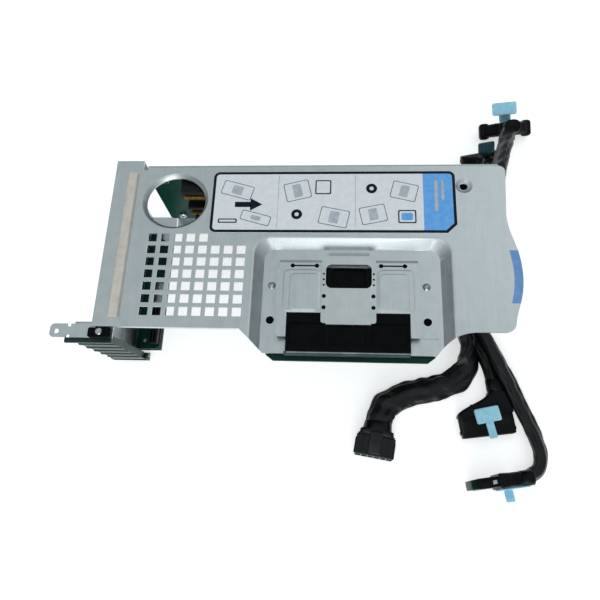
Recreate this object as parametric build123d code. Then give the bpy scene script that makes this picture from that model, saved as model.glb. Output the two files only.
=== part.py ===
from build123d import *
from math import atan2, degrees, hypot, tan
import os

# Server riser: a sheet-metal cage for expansion cards, its upright riser card, and the leads
# that plug into the main board. Millimetres. While it is built, X = 0 is the outer face of the
# rear frame, Y = 0 the near edge of the top plate and Z = 0 the plate's top face. The finished
# parts are moved so that the origin is the bottom centre of the riser without its leads.

# Sheet metal
sheet = 1.0
bend = 2.0                   # outside radius of a fold

# Cage
cage_height = 76.0
plate_length = 247.0
plate_width = 110.0
strip_width = 18.0           # plain strip behind the rear wall
strip_overhang = 3.0         # the strip runs past the far wall
relief_width = 3.0           # notch between the strip and the far fold
edge_waist = 1.5             # the right edge draws in here
edge_swell = 5.0             # and swells out here, to be gripped
corner_radius = 6.0
hem_depth = 2.5              # near edge turned down

# Perforated field: square holes
hole_pitch = 8.0
hole_size = 5.5
field_x = 30.0               # centre of the first hole
field_y = 58.0
hole_border = 5.0            # plain steel between the field's last centre and the pocket

# Oval hole with a rolled rim
oval_x = 41.5
oval_y = plate_width - 26.2
oval_length = 37.8
oval_width = 34.8
oval_run = 2.2               # how far the rim slopes in
oval_depth = 2.4

# Dimpled screw hole
dimple_x = plate_length - 25.5
dimple_y = plate_width - 16.0
dimple_radius = 5.2
dimple_bore = 2.5
dimple_depth = 1.3

# Drawn pocket, open at the near side
pocket_width = 118.0
pocket_right = plate_length - 35.0
pocket_left = pocket_right - pocket_width
pocket_far = plate_width - 51.5
pocket_depth = 5.5
pocket_run = 6.0             # how far its walls slope in
pocket_reach = 13.0          # its floor sticks out past the near edge
pocket_corner = 10.0
pocket_rim = 1.6             # rounding where the plate rolls into the pocket
floor_left = pocket_left + 8.0  # straight stretch of the floor's near edge
floor_right = pocket_right - 10.0
near_left = pocket_left - 6.0  # where the plate's near edge starts to slope out
near_right = plate_length - 22.0
near_end = plate_length - 7.0
hole_columns = int((pocket_left - hole_border - field_x) / hole_pitch) + 1
first_row_columns = min(5, hole_columns)
hole_rows = int((field_y - hole_border) / hole_pitch) + 1

# Card slots and the rear frame
slot_pitch = 20.32
slot_first = 15.3            # first slot's centre below the plate
slot_floor = 18.0            # least height of the last slot's centre above the surface
slot_count = int((cage_height - slot_first - slot_floor) / slot_pitch) + 1
filler_width = 18.42
filler_thick = 0.86
window_height = 13.0
window_start = 14.0
window_end = plate_width - 8.0
shelf_y = 3.6                # face that the card tabs rest on
shelf_reach = 12.0
tab_reach = 11.4
top_flange = 14.0
foot_flange = 20.0
lug_drop = 4.0               # the lug's top face below the plate's
lug_left = 27.0
lug_right = 12.0
lug_near = 6.0
lug_bore = 1.5

# Retention latch
latch_left = 12.5
latch_right = 10.0
latch_top = 5.8
latch_axis_y = 0.6
latch_axis_rise = 4.0        # hinge axis above the surface
latch_axis_z = cage_height - latch_axis_rise
latch_barrel = 2.4
latch_wall = 2.0
latch_lean = 8.6             # how far its face stands out of the axis at the top
latch_cheek = 1.6
latch_cheek_depth = 4.4
latch_rib_first = 9.0        # first grip rib below the latch's top
latch_rib_pitch = 11.5
latch_rib_end = 8.0          # least height of the last rib above the axis
latch_rib_count = int((latch_axis_z - latch_top - latch_rib_first - latch_rib_end) / latch_rib_pitch) + 1
pin_radius = 1.0
running_gap = 0.06
side_gap = 0.3

# Riser card
card_thick = 1.57
card_gap = 3.43              # spacers between the card and the far wall
card_y = plate_width - sheet - card_gap - card_thick  # face that carries the slots
card_left = 20.0
card_right = plate_length - 19.0
card_top = 3.0
card_bottom = cage_height - 13.4
screw_rows = (9.0, card_bottom - 5.6)
screw_columns = (30.0, 140.5, 182.0)
last_screw = 14.0            # the last column, from the card's right end
screw_radius = 1.45
screw_head = 2.8
spacer_radius = 3.0

# Card slot housings
slot_length = 89.0
slot_start = 42.0
slot_width = 7.5
slot_height = 11.25
slot_offset = 4.7            # from a bracket's centre to the card's plane
groove_width = 1.8
groove_depth = 8.0
groove_key = 12.6            # from the groove's start to its key
key_width = 1.9

# Bracket, strap and retainer in the pocket
bracket_left = pocket_left + 16.0
bracket_right = pocket_right - 19.5
bracket_far = pocket_far - 13.5
bracket_near = 10.5
bracket_arm = 5.5
bracket_arm_near = -4.0
bracket_rise = 4.0           # clear height under the bracket
foot_outer_left = pocket_left + 7.0
foot_outer_right = pocket_right - 9.0
foot_near = -3.0
foot_far = bracket_far - 7.0
rivet_y = bracket_far - 16.5
bolt_y = 6.8
bolt_radius = 2.4
strap_width = 32.0
strap_left = (bracket_left + bracket_right - strap_width) / 2 + 0.25
strap_right = strap_left + strap_width
strap_sheet = 0.8
relief_slot_y = bracket_far - 5.0
pad_far = bracket_far - 11.0
pad_corner = 3.0
strap_near = 4.0
strap_far = bracket_far + 5.0
strap_window_near = bracket_far - 19.5
strap_window_far = bracket_far - 4.5
retainer_left = bracket_left + bracket_arm
retainer_right = bracket_right - bracket_arm
retainer_near = -12.0
retainer_far = bracket_far - 1.0
lip_thick = 1.0

# Boards
board_thick = 1.6
adapter_gap = 1.5            # below the pocket's floor
adapter_near = -16.6
adapter_far = bracket_far - 1.0
adapter_left = floor_left + 1.5
adapter_right = floor_right - 0.5
foot_board_gap = 2.0
foot_board_right = 19.0
foot_board_notch = (38.0, 58.0)

# Stuck on
label_left = 65.0
label_right = plate_length - 30.7
label_near = pocket_far + 3.0
label_far = plate_width - 5.7
label_corner = 4.0
film = 0.15
gasket_left = 9.0
gasket_right = 15.5
gasket_near = 6.0
gasket_far = plate_width - 7.0
gasket_height = 2.2
patch_near = 17.5
patch_far = 50.5
patch_width = 5.0

# Leads
power_radius = 5.5
signal_radius = 4.5
lay_gap = 0.1                # a lead's lowest line above the surface
plug_thick = 9.0
plug_depth = 26.0
plug_shell = 6.4             # thickness of its mouth end
boot_depth = 15.0            # its thicker moulded end
far_plug_depth = 20.0
wide_plug = 36.0
ear_rise = 1.6               # how far a plug's latch ears stand out of its boot
slim_plug = 24.0
end_inlet_tall = 20.0
inlet_depth = 12.0
inlet_height = 9.5

ground = -cage_height
floor_top = -pocket_depth
floor_under = -pocket_depth - sheet
far_wall_inside = plate_width - sheet
slot_centres = [-(slot_first + i * slot_pitch) for i in range(slot_count)]
power_lay = ground + power_radius + lay_gap
signal_lay = ground + signal_radius + lay_gap


def block(x, y, z):
    """A box between pairs of low and high sides."""
    middle = [(low + high) / 2 for low, high in (x, y, z)]
    return Pos(*middle) * Box(x[1] - x[0], y[1] - y[0], z[1] - z[0])


def soft_block(x, y, z, radius, axis=Axis.Z):
    """A box whose edges along one axis are rounded."""
    body = block(x, y, z)
    return fillet(body.edges().filter_by(axis), radius)


def rod_x(y, z, radius, x):
    """A round bar along X between a pair of ends."""
    return Pos((x[0] + x[1]) / 2, y, z) * Rot(0, 90, 0) * Cylinder(radius, x[1] - x[0])


def rod_y(x, z, radius, y):
    """A round bar along Y between a pair of ends."""
    return Pos(x, (y[0] + y[1]) / 2, z) * Rot(90, 0, 0) * Cylinder(radius, y[1] - y[0])


def rod_z(x, y, radius, z):
    """A round bar along Z between a pair of ends."""
    return Pos(x, y, (z[0] + z[1]) / 2) * Cylinder(radius, z[1] - z[0])


def prism_x(points, x):
    """A polygon of (Y, Z) points, drawn out along X."""
    outline = make_face(Polyline(*[(x[0], y, z) for y, z in points], close=True))
    return extrude(outline, amount=x[1] - x[0], dir=(1, 0, 0))


def prism_z(points, z):
    """A polygon of (X, Y) points, drawn out along Z."""
    outline = make_face(Polyline(*[(x, y, z[0]) for x, y in points], close=True))
    return extrude(outline, amount=z[1] - z[0], dir=(0, 0, 1))


def drawn(outline, run, depth):
    """The metal and the hollow of a form drawn down into the sheet.

    outline(grow) is the form's edge at the sheet's top face, grown by that much.
    """
    out_top = sheet * hypot(run, depth) / depth
    out_low = out_top - sheet * run / depth
    hollow = loft([outline(0), Pos(0, 0, -depth) * outline(-run)], ruled=True)
    low_edge = Pos(0, 0, -depth - sheet) * outline(out_low - run)
    metal = loft([outline(out_top), low_edge], ruled=True)
    return metal, hollow


def plate_face():
    """The top plate's outline, without the far fold."""
    right = plate_length
    fold_line = plate_width - bend
    strip_far = plate_width + strip_overhang
    fold_start = strip_width + relief_width
    arc_drop = near_right - floor_right
    arc_radius = (arc_drop ** 2 + pocket_reach ** 2) / (2 * pocket_reach)
    arc_middle = (near_right - arc_drop / 2,
                  (arc_radius ** 2 - (arc_drop / 2) ** 2) ** 0.5 - arc_radius)
    edge_start = near_end + corner_radius
    with BuildSketch() as sketch:
        with BuildLine():
            Polyline((right - 4, fold_line), (fold_start, fold_line), (fold_start, fold_line - bend),
                     (strip_width, fold_line - bend), (strip_width, strip_far), (0, strip_far), (0, 0),
                     (near_left, 0), (floor_left, -pocket_reach), (floor_right, -pocket_reach))
            ThreePointArc((floor_right, -pocket_reach), arc_middle, (near_right, 0))
            Line((near_right, 0), (near_end, 0))
            RadiusArc((near_end, 0), (edge_start, corner_radius), -corner_radius)
            Spline((edge_start, corner_radius), (right + edge_swell * 0.6, 20), (right + edge_swell, 36),
                   (right + edge_swell * 0.5, 54), (right - edge_waist, 75),
                   tangents=[(0.2, 1), (0, 1)])
            Line((right - edge_waist, 75), (right, fold_line - 4))
            RadiusArc((right, fold_line - 4), (right - 4, fold_line), -4)
        make_face()
    return sketch.sketch


def far_fold():
    """The far wall, folded down from the plate and in again along its foot."""
    y = plate_width - bend
    out = plate_width
    inside = plate_width - sheet
    small = bend - sheet
    lip = y - 8
    x = strip_width + relief_width
    with BuildSketch(Plane.YZ.offset(x)) as sketch:
        with BuildLine():
            RadiusArc((y, 0), (out, -bend), bend)
            Line((out, -bend), (out, ground + bend))
            RadiusArc((out, ground + bend), (y, ground), bend)
            Polyline((y, ground), (lip, ground), (lip, ground + sheet), (y, ground + sheet))
            RadiusArc((y, ground + sheet), (inside, ground + bend), -small)
            Line((inside, ground + bend), (inside, -bend))
            RadiusArc((inside, -bend), (y, -sheet), -small)
            Line((y, -sheet), (y, 0))
        make_face()
    return extrude(sketch.sketch, amount=plate_length - 4 - x)


def top_plate():
    face = plate_face()
    body = extrude(face, amount=sheet, dir=(0, 0, -1))
    room = extrude(face, amount=pocket_depth + sheet, dir=(0, 0, -1))

    pocket_width = pocket_right - pocket_left
    pocket_length = pocket_far + 2 * pocket_reach + 20
    pocket_middle = ((pocket_left + pocket_right) / 2, pocket_far - pocket_length / 2)

    def pocket(grow):
        corner = pocket_corner + grow / 2
        return Pos(*pocket_middle) * RectangleRounded(pocket_width + 2 * grow,
                                                      pocket_length + 2 * grow, corner)

    def oval(grow):
        return Pos(oval_x, oval_y) * Ellipse(oval_length / 2 + oval_run + grow,
                                             oval_width / 2 + oval_run + grow)

    metal, hollow = drawn(pocket, pocket_run, pocket_depth)
    body = body + (metal & room) - hollow
    metal, hollow = drawn(oval, oval_run, oval_depth)
    through = extrude(Pos(0, 0, 1) * oval(-oval_run), amount=oval_depth + sheet + 2, dir=(0, 0, -1))
    body = body + metal - hollow - through

    cone_low = dimple_bore + 0.3
    body += Pos(dimple_x, dimple_y, -(dimple_depth + sheet) / 2) * Cone(
        cone_low + sheet, dimple_radius + sheet, dimple_depth + sheet)
    body -= Pos(dimple_x, dimple_y, -dimple_depth / 2) * Cone(cone_low, dimple_radius, dimple_depth)
    body -= rod_z(dimple_x, dimple_y, dimple_bore, (-dimple_depth - 2 * sheet, 1))

    holes = []
    for row in range(hole_rows):
        columns = first_row_columns if row == 0 else hole_columns
        for column in range(columns):
            x = field_x + column * hole_pitch
            y = field_y - row * hole_pitch
            holes.append(Pos(x, y, -sheet / 2) * Box(hole_size, hole_size, 2 * sheet))
    body -= holes

    # Lanced slots that take the bracket's far tabs
    for left, right in lance_spans():
        body -= block((left, right), (bracket_far + 0.2, bracket_far + 0.2 + sheet * 1.2),
                      (floor_under - 1, floor_top + 1))

    # Screw and rivet holes through the pocket's floor
    for x in bracket_hole_columns():
        body -= rod_z(x, bolt_y, bolt_radius, (floor_under - 1, floor_top + 1))
        body -= rod_z(x, rivet_y, rivet_shank, (floor_under - 1, floor_top + 1))

    body += far_fold()
    rim = [edge for edge in body.edges().filter_by_position(Axis.Z, -0.01, 0.01)
           if pocket_left - 0.1 < edge.center().X < pocket_right + 0.1
           and -2 < edge.center().Y < pocket_far + 0.1]
    body = fillet(rim, pocket_rim)
    body += block((bend, near_left - bend), (0, sheet), (-hem_depth, -sheet / 2))
    strip_far = plate_width + strip_overhang
    body += block((bend, strip_width), (strip_far - sheet, strip_far), (-12, -sheet / 2))

    # Windows in the far wall, between the card's screws
    low, high = ground + 20, -16
    for x in wall_windows():
        window = soft_block((x - 11, x + 11), (far_wall_inside - 1, plate_width + 1), (low, high), 3, Axis.Y)
        body -= window
    return body


rivet_shank = 1.6


def wall_windows():
    return [50 + i * 34 for i in range(3)] + [161, 211]


def bracket_hole_columns():
    return ((foot_outer_left + bracket_left) / 2, (foot_outer_right + bracket_right) / 2 - 0.5)


def lance_spans():
    middle = (bracket_left + bracket_right) / 2
    return ((middle - 32, middle - 12.5), (middle + 14.5, middle + 34))


def rear_frame():
    """The rear wall with its flanges, the shelf for the card tabs and the lug."""
    wall_far = plate_width + strip_overhang - 2 * sheet
    small = bend - sheet
    top = -sheet
    start = shelf_y + bend
    with BuildSketch(Plane.XZ.offset(-start)) as section:
        with BuildLine():
            RadiusArc((bend, top), (0, top - bend), -bend)
            Line((0, top - bend), (0, ground + bend))
            RadiusArc((0, ground + bend), (bend, ground), -bend)
            Polyline((bend, ground), (foot_flange, ground), (foot_flange, ground + sheet),
                     (bend, ground + sheet))
            RadiusArc((bend, ground + sheet), (sheet, ground + bend), small)
            Line((sheet, ground + bend), (sheet, top - bend))
            RadiusArc((sheet, top - bend), (bend, top - sheet), small)
            Polyline((bend, top - sheet), (top_flange, top - sheet), (top_flange, top), (bend, top))
        make_face()
    body = extrude(section.sketch, amount=wall_far - start, dir=(0, 1, 0))

    shelf_top = -lug_drop - bend
    shelf_low = ground + bend + 0.2
    with BuildSketch(Plane.XY.offset(shelf_low)) as section:
        with BuildLine():
            Polyline((0, start), (sheet, start))
            RadiusArc((sheet, start), (-small, shelf_y), -bend)
            Polyline((-small, shelf_y), (-shelf_reach, shelf_y), (-shelf_reach, shelf_y + sheet),
                     (-small, shelf_y + sheet))
            RadiusArc((-small, shelf_y + sheet), (0, start), small)
        make_face()
    body += extrude(section.sketch, amount=shelf_top - shelf_low)

    # The shelf's top folds towards the near side and runs out into the lug
    lug_top = -lug_drop
    with BuildSketch(Plane.YZ.offset(-shelf_reach)) as section:
        with BuildLine():
            Line((shelf_y + sheet, shelf_top), (shelf_y, shelf_top))
            RadiusArc((shelf_y, shelf_top), (shelf_y - small, lug_top - sheet), -small)
            Line((shelf_y - small, lug_top - sheet), (shelf_y - small, lug_top))
            RadiusArc((shelf_y - small, lug_top), (shelf_y + sheet, shelf_top), bend)
        make_face()
    body += extrude(section.sketch, amount=shelf_reach - small)
    neck = 14.0
    tip = 2.8
    with BuildSketch(Plane.XY.offset(lug_top - sheet)) as section:
        with Locations(((lug_right - lug_left) / 2, (shelf_y - small - lug_near) / 2)):
            Rectangle(lug_right + lug_left, shelf_y - small + lug_near)
        fillet(section.vertices().group_by(Axis.X)[0], tip)
        with Locations((-lug_left + 4.2, -lug_near / 2 + 0.8)):
            Circle(lug_bore, mode=Mode.SUBTRACT)
        with Locations((-neck - 1.4, shelf_y - small), (-neck - 1.4, -lug_near)):
            Rectangle(2.2, 3.6, mode=Mode.SUBTRACT)
    body += extrude(section.sketch, amount=sheet)
    for y in (-4.4, -2.6):
        body += soft_block((-12, -4), (y - 0.45, y + 0.45), (lug_top - 0.2, lug_top + 0.35), 0.4)

    for z in slot_centres:
        body -= soft_block((-1, 2), (window_start, window_end),
                           (z - window_height / 2, z + window_height / 2), 2, Axis.X)
    body -= rod_z(*latch_screw_place(), latch_screw_bore, (lug_top - 2, lug_top + 1))
    return body


latch_screw_bore = 1.3


def latch_screw_place():
    return 4.5, -lug_near / 2


def slot_filler(z):
    """A blank card bracket: vented face, tab over the shelf and tapered tongue."""
    near = shelf_y - filler_thick
    far = plate_width - 1
    half = filler_width / 2
    face = block((sheet, sheet + filler_thick), (near, far - 8), (z - half, z + half))
    tongue = Plane.YZ.offset(sheet) * make_face(Polyline(
        (far - 8, z - half), (far - 8, z + half), (far, z + 5), (far, z - 5), close=True))
    body = face + extrude(tongue, amount=filler_thick, dir=(1, 0, 0))
    tab = block((-tab_reach, sheet + filler_thick), (near, shelf_y), (z - half, z + half))
    body += tab
    # The tab crosses the wall's plane in front of the fold, so the face starts behind it
    body -= block((-tab_reach - 1, sheet), (shelf_y, far + 1), (z - half - 1, z + half + 1))
    notch = Pos(-tab_reach, (near + shelf_y) / 2, z) * Rot(90, 0, 0) * Cylinder(2.2, 4)
    body -= notch
    for i in range(7):
        y = window_start + 8 + i * 12
        body -= soft_block((0, 3), (y, y + 8), (z - 3.5, z + 3.5), 1.5, Axis.X)
    return body


def retention_latch():
    """Ribbed lever with side cheeks and pads that press on the card tabs."""
    axis_z = -latch_axis_z
    top = -latch_top
    left, right = -latch_left, latch_right
    face_low = latch_axis_y - latch_barrel
    face_top = latch_axis_y - latch_lean
    back_top = face_top + latch_cheek_depth
    back_low = latch_axis_y + latch_barrel - 0.3
    plate = prism_x([(face_low, axis_z), (face_low + latch_wall, axis_z),
                     (face_top + latch_wall, top), (face_top, top)], (left, right))
    barrel = rod_x(latch_axis_y, axis_z, latch_barrel, (left, right))
    cheek = [(face_low + 0.5, axis_z), (latch_axis_y, axis_z), (back_low, axis_z + 4), (back_top, top),
             (face_top + 0.5, top)]
    body = plate + barrel
    body += prism_x(cheek, (left, left + latch_cheek))
    body += prism_x(cheek, (right - latch_cheek, right))
    for z in slot_centres:
        share = (z - axis_z) / (top - axis_z)
        front = face_low + (face_top - face_low) * share + latch_wall / 2
        body += block((left + 1, -1), (front, 0.2), (z - 1, z + 1))
        body += block((left + 1, -1), (0.1, shelf_y - filler_thick - side_gap), (z - 3, z + 3))
    # Grip ribs across the face, and the lip at its top
    for i in range(latch_rib_count):
        z = top - latch_rib_first - i * latch_rib_pitch
        share = (z - axis_z) / (top - axis_z)
        front = face_low + (face_top - face_low) * share
        body += prism_x([(front + 0.6, z - 1.6), (front - 0.6, z - 1.1), (front - 0.6, z + 1.1),
                         (front + 0.6, z + 1.6)], (left, right))
    body += block((-lug_left + 9, right + 1), (face_top - 0.6, face_top + 2.4), (top - 2, top))
    body -= rod_x(latch_axis_y, axis_z, pin_radius + running_gap, (left - 1, right + 1))
    return body


ear_thick = 1.8


def latch_ears():
    left = (-latch_left - side_gap - ear_thick, -latch_left - side_gap)
    right = (latch_right + side_gap, latch_right + side_gap + ear_thick)
    return left, right


def latch_base():
    """Moulded foot against the shelf whose ears hold the hinge pin."""
    left, right = latch_ears()
    axis_z = -latch_axis_z
    low = ground + 0.2
    front = latch_axis_y - latch_barrel
    body = block((left[0], right[1]), (front, shelf_y), (low, axis_z - latch_barrel - side_gap))
    for ear in (left, right):
        body += block(ear, (front, latch_axis_y + latch_barrel), (low, axis_z))
        body += rod_x(latch_axis_y, axis_z, latch_barrel, ear)
    body -= rod_x(latch_axis_y, axis_z, pin_radius, (left[0] - 1, right[1] + 1))
    return body


def latch_catch():
    """Black block on the lug that the latch's lip clicks under."""
    low = -lug_drop
    x, y = latch_screw_place()
    body = soft_block((-2, lug_right), (-lug_near - 0.4, -0.5), (low, -0.8), 1.2)
    body -= rod_z(x, y, 2.2, (-1.8, 0))
    body -= rod_z(x, y, latch_screw_bore + 0.2, (low - 1, 0))
    return body


def latch_screw():
    x, y = latch_screw_place()
    body = rod_z(x, y, latch_screw_bore - 0.05, (-lug_drop - sheet - 0.15, -1.8))
    head = rod_z(x, y, 2.1, (-1.8, -0.3))
    return body + chamfer(head.edges().sort_by(Axis.Z)[-1:], 0.4)


def retainer_bracket():
    """Raised bracket that bridges the pocket, with its feet on the pocket's floor."""
    under = floor_top + bracket_rise
    top = under + sheet
    slope = bracket_rise * 0.75
    deck = block((bracket_left, bracket_right), (bracket_near, bracket_far - slope), (under, top))
    body = deck
    for left, right in ((bracket_left, bracket_left + bracket_arm),
                        (bracket_right - bracket_arm, bracket_right)):
        body += block((left, right), (bracket_arm_near, bracket_near), (under, top))
    # Sloping far side, with two tabs through the lanced slots
    far_side = [(bracket_far - slope - 0.01, top), (bracket_far + 0.3, floor_top + sheet),
                (bracket_far + 0.3, floor_top), (bracket_far - 0.7, floor_top),
                (bracket_far - slope - 0.01, under)]
    body += prism_x(far_side, (bracket_left, bracket_right))
    for left, right in lance_spans():
        body += block((left + 0.5, right - 0.5), (bracket_far + 0.3, bracket_far + 0.3 + sheet),
                      (floor_under, floor_top + sheet))
    # Side walls down to the feet
    for inner, outer in ((bracket_left, foot_outer_left), (bracket_right, foot_outer_right)):
        side = 1 if outer > inner else -1
        wall = sorted((inner, inner + side * sheet))
        body += block(wall, (foot_near, foot_far), (floor_top, top))
        body += block(sorted((inner, outer)), (foot_near, foot_far), (floor_top, floor_top + sheet))
    for x in bracket_hole_columns():
        body -= rod_z(x, bolt_y, bolt_radius, (floor_top - 1, floor_top + 2))
        body -= rod_z(x, rivet_y, rivet_shank, (floor_top - 1, floor_top + 2))
    # Opening under the strap's window
    body -= block((strap_left + 2.5, strap_right - 2.5), (strap_window_near, strap_window_far),
                  (under - 1, top + 1))
    # Long slots with a hole at each end, beside the strap
    for left, right in ((bracket_left + 8, strap_left - 3), (strap_right + 3, bracket_right - 8)):
        body -= block((left, right), (relief_slot_y - 0.5, relief_slot_y + 0.5), (under - 1, top + 1))
        for x in (left, right):
            body -= rod_z(x, relief_slot_y, 1.1, (under - 1, top + 1))
    # Embossed pads
    for left, right in ((bracket_left + 7.5, strap_left - 2), (strap_right + 2.5, bracket_right - 6.5)):
        pad = block((left, right), (bracket_near + 2, pad_far), (top - 0.2, top + 0.6))
        corner = min(pad_corner, 0.4 * (pad_far - bracket_near - 2), 0.4 * (right - left))
        body += fillet(pad.edges().filter_by(Axis.Z), corner)
    return body


def spring_strap():
    """Spring strap over the bracket, with a window and a tongue that is turned down."""
    low = floor_top + bracket_rise + sheet
    high = low + strap_sheet
    tongue = sheet
    body = soft_block((strap_left, strap_right), (strap_near, strap_far - 4), (low, high), 1.5)
    window = soft_block((strap_left + 2.5, strap_right - 2.5), (strap_window_near, strap_window_far),
                        (low - 1, high + 1), 3.5)
    body -= window
    body += block((strap_left + 3, strap_right - 3), (strap_near - strap_sheet, strap_near + 0.5),
                  (low - tongue, high))
    far_low = floor_top + 0.6
    body += prism_x([(strap_far - 5, low), (strap_far - 5, high), (strap_far, far_low + strap_sheet),
                     (strap_far, far_low), (strap_far - 0.6, far_low)], (strap_left + 4, strap_right - 4))
    for x in (strap_left + 1.6, strap_right - 1.6):
        for y in (bracket_near + 3, bracket_near + 10):
            body -= rod_z(x, y, 0.9, (low - 1, high + 1))
    return body


def card_retainer():
    """Black moulding between the pocket's floor and the bracket."""
    low = floor_top
    high = floor_top + bracket_rise
    front = block((retainer_left, retainer_right), (retainer_near, bracket_near - 0.5), (low, high))
    back = block((retainer_left + 3, retainer_right - 3), (bracket_near - 1, retainer_far - 5),
                 (low, high - 0.2))
    body = front + back
    # Three shallow recesses, left open towards the near side
    third = (retainer_right - retainer_left) / 3
    for i in range(3):
        left = retainer_left + i * third + 1.5
        body -= soft_block((left, left + third - 3), (retainer_near + 3, bracket_near - 6),
                           (high - 0.9, high + 1), 1.5)
    # Finger wells under the strap's window
    middle = (strap_left + strap_right) / 2
    body -= soft_block((middle - 10, middle + 10), (strap_window_near + 2, strap_window_far - 2),
                       (high - 1.6, high + 1), 3)
    return body


def retainer_lip():
    """Grey edging that holds the retainer to the floor's near edge."""
    top = floor_top + 2.2
    edge = -pocket_reach
    low = floor_under
    return prism_x([(retainer_near, floor_top), (retainer_near, top), (edge - lip_thick, top),
                    (edge - lip_thick, low - 0.8), (edge + 1.2, low - 0.8), (edge + 1.2, low),
                    (edge - 0.05, low), (edge - 0.05, floor_top)],
                   (retainer_left - 1, retainer_right))


def bracket_rivets():
    rivets = []
    low = floor_under
    high = floor_top + sheet
    for x in bracket_hole_columns():
        rivet = rod_z(x, rivet_y, rivet_shank, (low, high))
        dome = Pos(x, rivet_y, high - 1.1) * Sphere(2.6)
        rivet += dome & block((x - 3, x + 3), (rivet_y - 3, rivet_y + 3), (high, high + 2))
        rivet += rod_z(x, rivet_y, 2.3, (low - 0.7, low))
        rivets.append(rivet)
    return Compound(children=rivets)


def adapter_board():
    """Board hung under the pocket; its near edge shows past the steel."""
    top = floor_under - adapter_gap
    points = [(adapter_left, adapter_near + 3.5), (adapter_left + 4.5, adapter_near),
              (adapter_right - 4.5, adapter_near), (adapter_right, adapter_near + 3.5),
              (adapter_right, adapter_far), (adapter_left, adapter_far)]
    board = prism_z(points, (top - board_thick, top))
    for x, y in adapter_spacer_places():
        board -= rod_z(x, y, 1.6, (top - 3, top + 1))
    return board


def adapter_spacer_places():
    left, right = bracket_hole_columns()
    return [(x, y) for x in (left + 0.5, right - 0.5) for y in (bolt_y, adapter_far - 4)]


def ring(x, y, outer, inner, z):
    return rod_z(x, y, outer, z) - rod_z(x, y, inner, (z[0] - 1, z[1] + 1))


def adapter_spacers():
    top = floor_under
    low = floor_under - adapter_gap
    return Compound(children=[ring(x, y, 3.6, 1.6, (low, top)) for x, y in adapter_spacer_places()])


foot_board_low = ground + sheet + foot_board_gap
foot_board_top = foot_board_low + board_thick
foot_board_left = sheet + filler_thick + 0.8
foot_board_ends = (6.0, plate_width - 10.0)


def foot_spacer_places():
    return [(8.0, 12.0), (5.6, foot_board_notch[1] + 30)]


def rear_board():
    """Long board at the foot of the rear frame, with a notch and a narrow far end."""
    near, far = foot_board_ends
    notch_near, notch_far = foot_board_notch
    left, right = foot_board_left, foot_board_right
    points = [(left, near), (right - 2, near), (right, near + 2), (right, notch_near),
              (right - 8, notch_near), (right - 8, notch_far), (right - 2.5, notch_far),
              (right - 2.5, far - 12), (right - 9, far - 8), (right - 9, far), (left, far)]
    board = prism_z(points, (foot_board_low, foot_board_top))
    for x, y in foot_spacer_places():
        board -= rod_z(x, y, 1.5, (foot_board_low - 1, foot_board_top + 1))
    return board


def rear_board_spacers():
    span = (ground + sheet, foot_board_low)
    return Compound(children=[ring(x, y, 2.6, 1.5, span) for x, y in foot_spacer_places()])


def rear_board_connector():
    """Two-row socket along the board's inner edge."""
    right = foot_board_right - 0.6
    near = foot_board_ends[0] + 2.5
    far = foot_board_notch[0] - 2
    body = soft_block((right - 5.4, right), (near, far), (foot_board_top, foot_board_top + 5), 0.8)
    for x in (right - 4.3, right - 2.2):
        body -= block((x - 0.5, x + 0.5), (near + 1.5, far - 1.5), (foot_board_top + 2, foot_board_top + 6))
    return body


def riser_card():
    board = soft_block((card_left, card_right), (card_y, card_y + card_thick),
                       (-card_bottom, -card_top), 2, Axis.Y)
    for x, z in card_screw_places():
        board -= rod_y(x, z, screw_radius + 0.15, (card_y - 1, card_y + 3))
    return board


def card_screw_places():
    return [(x, -z) for x in (*screw_columns, card_right - last_screw) for z in screw_rows]


def card_spacers():
    spacers = []
    for x, z in card_screw_places():
        tube = rod_y(x, z, spacer_radius, (card_y + card_thick, far_wall_inside))
        tube -= rod_y(x, z, screw_radius + running_gap, (card_y, far_wall_inside + 1))
        spacers.append(tube)
    return Compound(children=spacers)


def card_screws():
    screws = []
    for x, z in card_screw_places():
        head = rod_y(x, z, screw_head, (card_y - 1.8, card_y))
        head = chamfer(head.edges().sort_by(Axis.Y)[:1], 0.5)
        cross = block((x - 1.6, x + 1.6), (card_y - 3, card_y - 1), (z - 0.35, z + 0.35))
        cross += block((x - 0.35, x + 0.35), (card_y - 3, card_y - 1), (z - 1.6, z + 1.6))
        shank = rod_y(x, z, screw_radius, (card_y - 0.5, far_wall_inside - 0.2))
        screws.append(head - cross + shank)
    return Compound(children=screws)


def card_slot(z):
    """Slot housing on the riser card, its mouth towards the near side."""
    plane = z + slot_offset
    mouth = card_y - slot_height
    half = slot_width / 2
    end = slot_start + slot_length
    body = block((slot_start, end), (mouth, card_y), (plane - half, plane + half))
    body = chamfer(body.edges().filter_by(Axis.X).group_by(Axis.Y)[0], 0.8)
    groove_start = slot_start + 2.2
    spans = ((groove_start, groove_start + groove_key - key_width / 2),
             (groove_start + groove_key + key_width / 2, end - 2.2))
    for low, high in spans:
        body -= block((low, high), (mouth - 1, mouth + groove_depth),
                      (plane - groove_width / 2, plane + groove_width / 2))
        body -= prism_x([(mouth - 0.01, plane - 1.7), (mouth + 1.0, plane - groove_width / 2),
                         (mouth + 1.0, plane + groove_width / 2), (mouth - 0.01, plane + 1.7)], (low, high))
    # Hook that grips the card's end
    body += block((end, end + 5), (mouth + 3, card_y), (plane - 2, plane + 2))
    body += block((end + 3.2, end + 5), (mouth - 3, mouth + 3.5), (plane - 2, plane + 2))
    return body


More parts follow.
